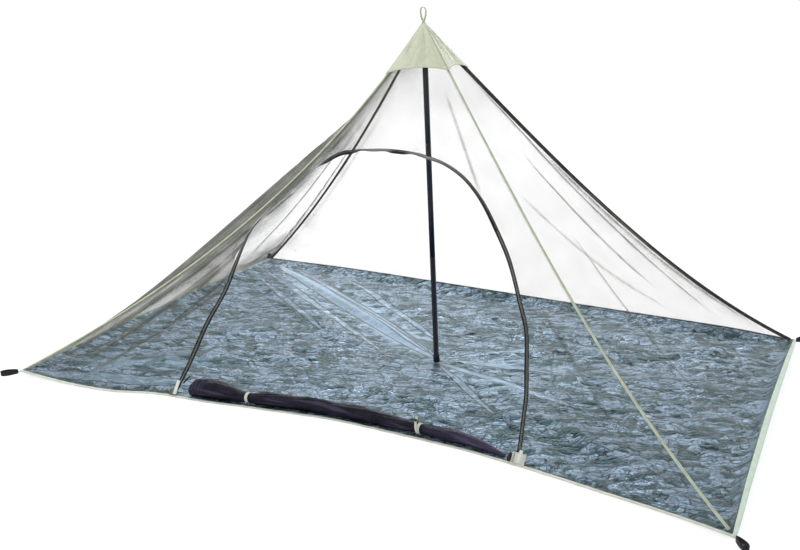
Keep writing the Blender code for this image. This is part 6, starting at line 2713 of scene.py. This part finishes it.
@dataclass(frozen=True)
class WebbingLoops(Part):
    """The peg loops at the corners and the hanging loop on the peak."""

    reach: float = 0.06
    half_width: float = 0.011
    webbing: float = 0.0016
    tape_width: float = 0.015
    stub: float = 0.007
    steps: int = 72
    start: float = 0.0123
    peak_length: float = 0.044
    peak_half_width: float = 0.012
    peak_seat: float = 0.0015
    peak_tape_width: float = 0.01

    def outline(self, length: float, half_width: float, stub: float) -> Array:
        """A drop-shaped outline, round from its stub.

        Args:
            length: How far it reaches.
            half_width: Half its widest.
            stub: The straight length at its root.

        Returns:
            Distances out and aside.
        """
        turn = 2 * np.pi * (np.arange(self.steps) + 0.5) / self.steps
        share = (1 - np.cos(turn)) / 2
        aside = half_width * np.sin(turn) * (0.45 + 0.55 * share)
        return np.column_stack((stub + (length - stub) * share, aside))

    def band(
        self, name: str, frame: tuple[Array, Array, Array], size: Pair, width: Array, material: Material
    ) -> Piece:
        """Make a closed loop of webbing with soft selvedges.

        Args:
            name: The piece's name.
            frame: Its root, and its outward and sideways directions.
            size: Its length and half width.
            width: The vector across the webbing.
            material: Its material.

        Returns:
            The loop's object.
        """
        root, out, aside = frame
        outer = self.outline(size[0], size[1], 0.0)
        inner = self.outline(size[0] - self.webbing, size[1] - self.webbing, self.stub)
        outer, inner = (root + pairs[:, :1] * out + pairs[:, 1:] * aside for pairs in (outer, inner))
        middle = (outer + inner) / 2
        rings = (
            inner + width * 0.04, middle, outer + width * 0.04, outer + width * 0.5, outer + width * 0.96,
            middle + width, inner + width * 0.96, inner + width * 0.5)
        return add_loft(name, np.stack(rings, axis=1), material, closed=True)

    def build(self) -> None:
        """Make the four peg loops and the hanging loop."""
        for corner, ridge in RIDGES.items():
            out = unit(np.array((ridge.side_x, ridge.side_y, 0.0)))
            aside = np.array((-out[1], out[0], 0.0))
            foot = ridge.foot()
            foot[2] = CORNER_HEIGHT - self.tape_width / 2
            frame = (foot + out * self.start, out, aside)
            width = UP * self.tape_width
            size = (self.reach - self.start, self.half_width)
            name = f"peg_webbing_{corner.value}"
            band = self.band(name, frame, size, width, self.shop.material(Finish.WEBBING))
            self.shop.keep(band, f"peg_loop_{corner.value}")
        width = np.array((0.0, self.peak_tape_width, 0.0))
        root = UP * (PEAK_HEIGHT + self.peak_seat) - width / 2
        frame = (root, UP, np.array((1.0, 0.0, 0.0)))
        size = (self.peak_length, self.peak_half_width)
        band = self.band("peak_hanger", frame, size, width, self.shop.material(Finish.TAPE))
        self.shop.keep(band, "peak_loop")


@dataclass(frozen=True)
class CentrePole(Part):
    """The black pole, leaning a little from the floor to the peak."""

    radius: float = 0.0085
    foot_radius: float = 0.0105
    foot_height: float = 0.022
    tip_radius: float = 0.004
    sides: int = 48
    bottom: float = 0.0019
    tip: float = PEAK_HEIGHT - 0.0002
    joints: tuple[float, ...] = (0.36, 0.72)

    def rows(self) -> list[Pair]:
        """The pole's radius up its length, with its foot, joints and tip.

        Returns:
            Heights with their radii.
        """
        rows = [
            (self.foot_radius - 0.001, self.bottom), (self.foot_radius - 0.0003, self.bottom + 0.0006),
            (self.foot_radius, self.bottom + 0.002),
            (self.foot_radius, self.bottom + self.foot_height - 0.002),
            (self.foot_radius - 0.0006, self.bottom + self.foot_height - 0.001),
            (self.radius, self.bottom + self.foot_height)]
        for joint in self.joints:
            rows += [(self.radius, joint - 0.0008), (self.radius - 0.0006, joint - 0.0004)]
            rows += [(self.radius - 0.0006, joint + 0.0004), (self.radius, joint + 0.0008)]
        rows += [(self.radius, self.tip - 0.014), (self.tip_radius, self.tip - 0.002)]
        rows.append((self.tip_radius * 0.75, self.tip))
        return rows

    def build(self) -> None:
        """Make the pole."""
        foot = np.array((*POLE_FOOT, self.bottom))
        top = UP * self.tip
        turns = full_turn(self.sides)
        circle = np.column_stack((np.cos(turns), np.sin(turns), np.zeros(self.sides)))
        rings = []
        for radius, height in self.rows():
            centre = foot + (top - foot) * (height - self.bottom) / (self.tip - self.bottom)
            rings.append(centre + radius * circle)
        self.shop.keep(add_loft("centre_pole", np.array(rings), self.shop.material(Finish.POLE)), "pole")


# ---- studio


@dataclass(frozen=True)
class Studio:
    """A pale floor, soft light and the camera."""

    place: Triple = (1.29915, -2.39361, 1.24395)
    right: Triple = (0.934672, 0.354829, 0.022021)
    up: Triple = (-0.136377, 0.300656, 0.943932)
    view: Triple = (-0.328313, 0.88527, -0.329405)
    lens: float = 40.17
    shift: float = -0.1875
    floor_size: float = 60.0
    floor_glow: float = 0.82
    floor_grey: Triple = (0.24, 0.24, 0.24)
    white: Triple = (1.0, 1.0, 1.0)
    sensor: float = 36.0
    ambient: float = 0.62
    band_light: float = 1.8
    band_low: Pair = (0.16, 0.34)
    band_high: Pair = (0.48, 0.7)

    def build(self) -> None:
        """Set the stage, its lights and the camera."""
        self.floor()
        self.sky()
        self.lamp("key", (-2.6, -1.6, 3.2), (0.0, 0.0, 0.1), (1.6, 1.6), 70.0)
        self.lamp("back", (-1.5, 4.6, 2.3), (-0.2, 0.0, 0.1), (6.5, 1.4), 120.0)
        self.camera()

    def floor(self) -> None:
        """Lay a plain pale floor."""
        half = self.floor_size / 2
        material, sketch, shader = new_material("studio_floor")
        sketch.fill(
            shader.inputs, Base_Color=opaque(self.floor_grey), Roughness=0.95, Specular_IOR_Level=0.1)
        sketch.fill(shader.inputs, Emission_Color=opaque(self.white), Emission_Strength=self.floor_glow)
        corners = np.array(((-half, -half, 0), (half, -half, 0), (half, half, 0), (-half, half, 0)), float)
        item = add_object("studio_floor", corners, [(0, 1, 2, 3)], material)

    def sky(self) -> None:
        """Fill the room with even pale light."""
        world = bpy.data.worlds.new("studio_sky")
        world.use_nodes = True
        sketch = Sketch(world.node_tree)
        seen = sketch.node("ShaderNodeLightPath").outputs["Is Camera Ray"]
        way = sketch.node("ShaderNodeTexCoord").outputs["Generated"]
        _, depth, rise = sketch.node("ShaderNodeSeparateXYZ", Vector=way).outputs
        band = sketch.maths(
            "MULTIPLY", sketch.between(rise, *self.band_low),
            sketch.between(rise, *self.band_high, 1.0, 0.0))
        band = sketch.times(band, sketch.between(depth, -0.3, 0.5))
        light = sketch.maths("MULTIPLY_ADD", band, self.band_light, self.ambient)
        strength = sketch.maths("MULTIPLY_ADD", light, sketch.maths("SUBTRACT", 1.0, seen), seen)
        background = world.node_tree.nodes["Background"]
        sketch.fill(background.inputs, Strength=strength, Color=opaque(self.white))
        bpy.context.scene.world = world
        bpy.context.scene.view_settings.view_transform = "Standard"

    def lamp(self, name: str, place: Triple, target: Triple, size: Pair, power: float) -> None:
        """Hang a large soft lamp that looks at a target.

        Args:
            name: The lamp's name.
            place: Where it hangs.
            target: Where it points.
            size: Its width and height.
            power: Its power in watts.
        """
        data = bpy.data.lights.new(f"lamp_{name}", "AREA")
        data.shape = "RECTANGLE"
        data.size, data.size_y = size
        data.energy = power
        item = link(data.name, data)
        item.location = place
        item.rotation_euler = (Vector(target) - Vector(place)).to_track_quat("-Z", "Y").to_euler()

    def camera(self) -> None:
        """Set the camera."""
        data = bpy.data.cameras.new("camera")
        data.lens = self.lens
        data.sensor_width = self.sensor
        data.shift_x = self.shift
        item = link("camera", data)
        axes = Matrix((self.right, self.up, [-value for value in self.view])).transposed()
        item.matrix_world = Matrix.Translation(self.place) @ axes.to_4x4()
        bpy.context.scene.camera = item


# ---- the whole tent


def declare_cloth(nets: dict[Side, Piece], gores: list[Piece]) -> None:
    """Work out each wall's flat area before it was pitched, less the doorway, and do nothing with it.

    Args:
        nets: Each side's wall.
        gores: The cap's gores.
    """
    for side, item in nets.items():
        wall = WALLS[side]
        area = wall.flat_area(NET_TOP)
        if side is Side.FRONT:
            curve = Doorway().curve()
            across, rise = curve[:, 0], curve[:, 1]
            area -= abs(float(np.sum(rise * np.gradient(across))))
            continue
    for side, item in zip(Side, gores):
        wall = WALLS[side]


def main() -> None:
    """Build and dress the whole tent."""
    logging.basicConfig(level=logging.INFO, format="%(message)s")
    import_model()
    Studio().build()
    shop = Workshop()
    nets = NetWalls(shop).build()
    Ridges(shop).build()
    HemBindings(shop).build()
    floor = GroundSheet(shop).build()
    gores = Cap(shop).build()
    DoorZip(shop).build()
    RolledDoor(shop).build()
    WebbingLoops(shop).build()
    CentrePole(shop).build()
    declare_cloth(nets, gores)


if __name__ == "__main__":
    main()
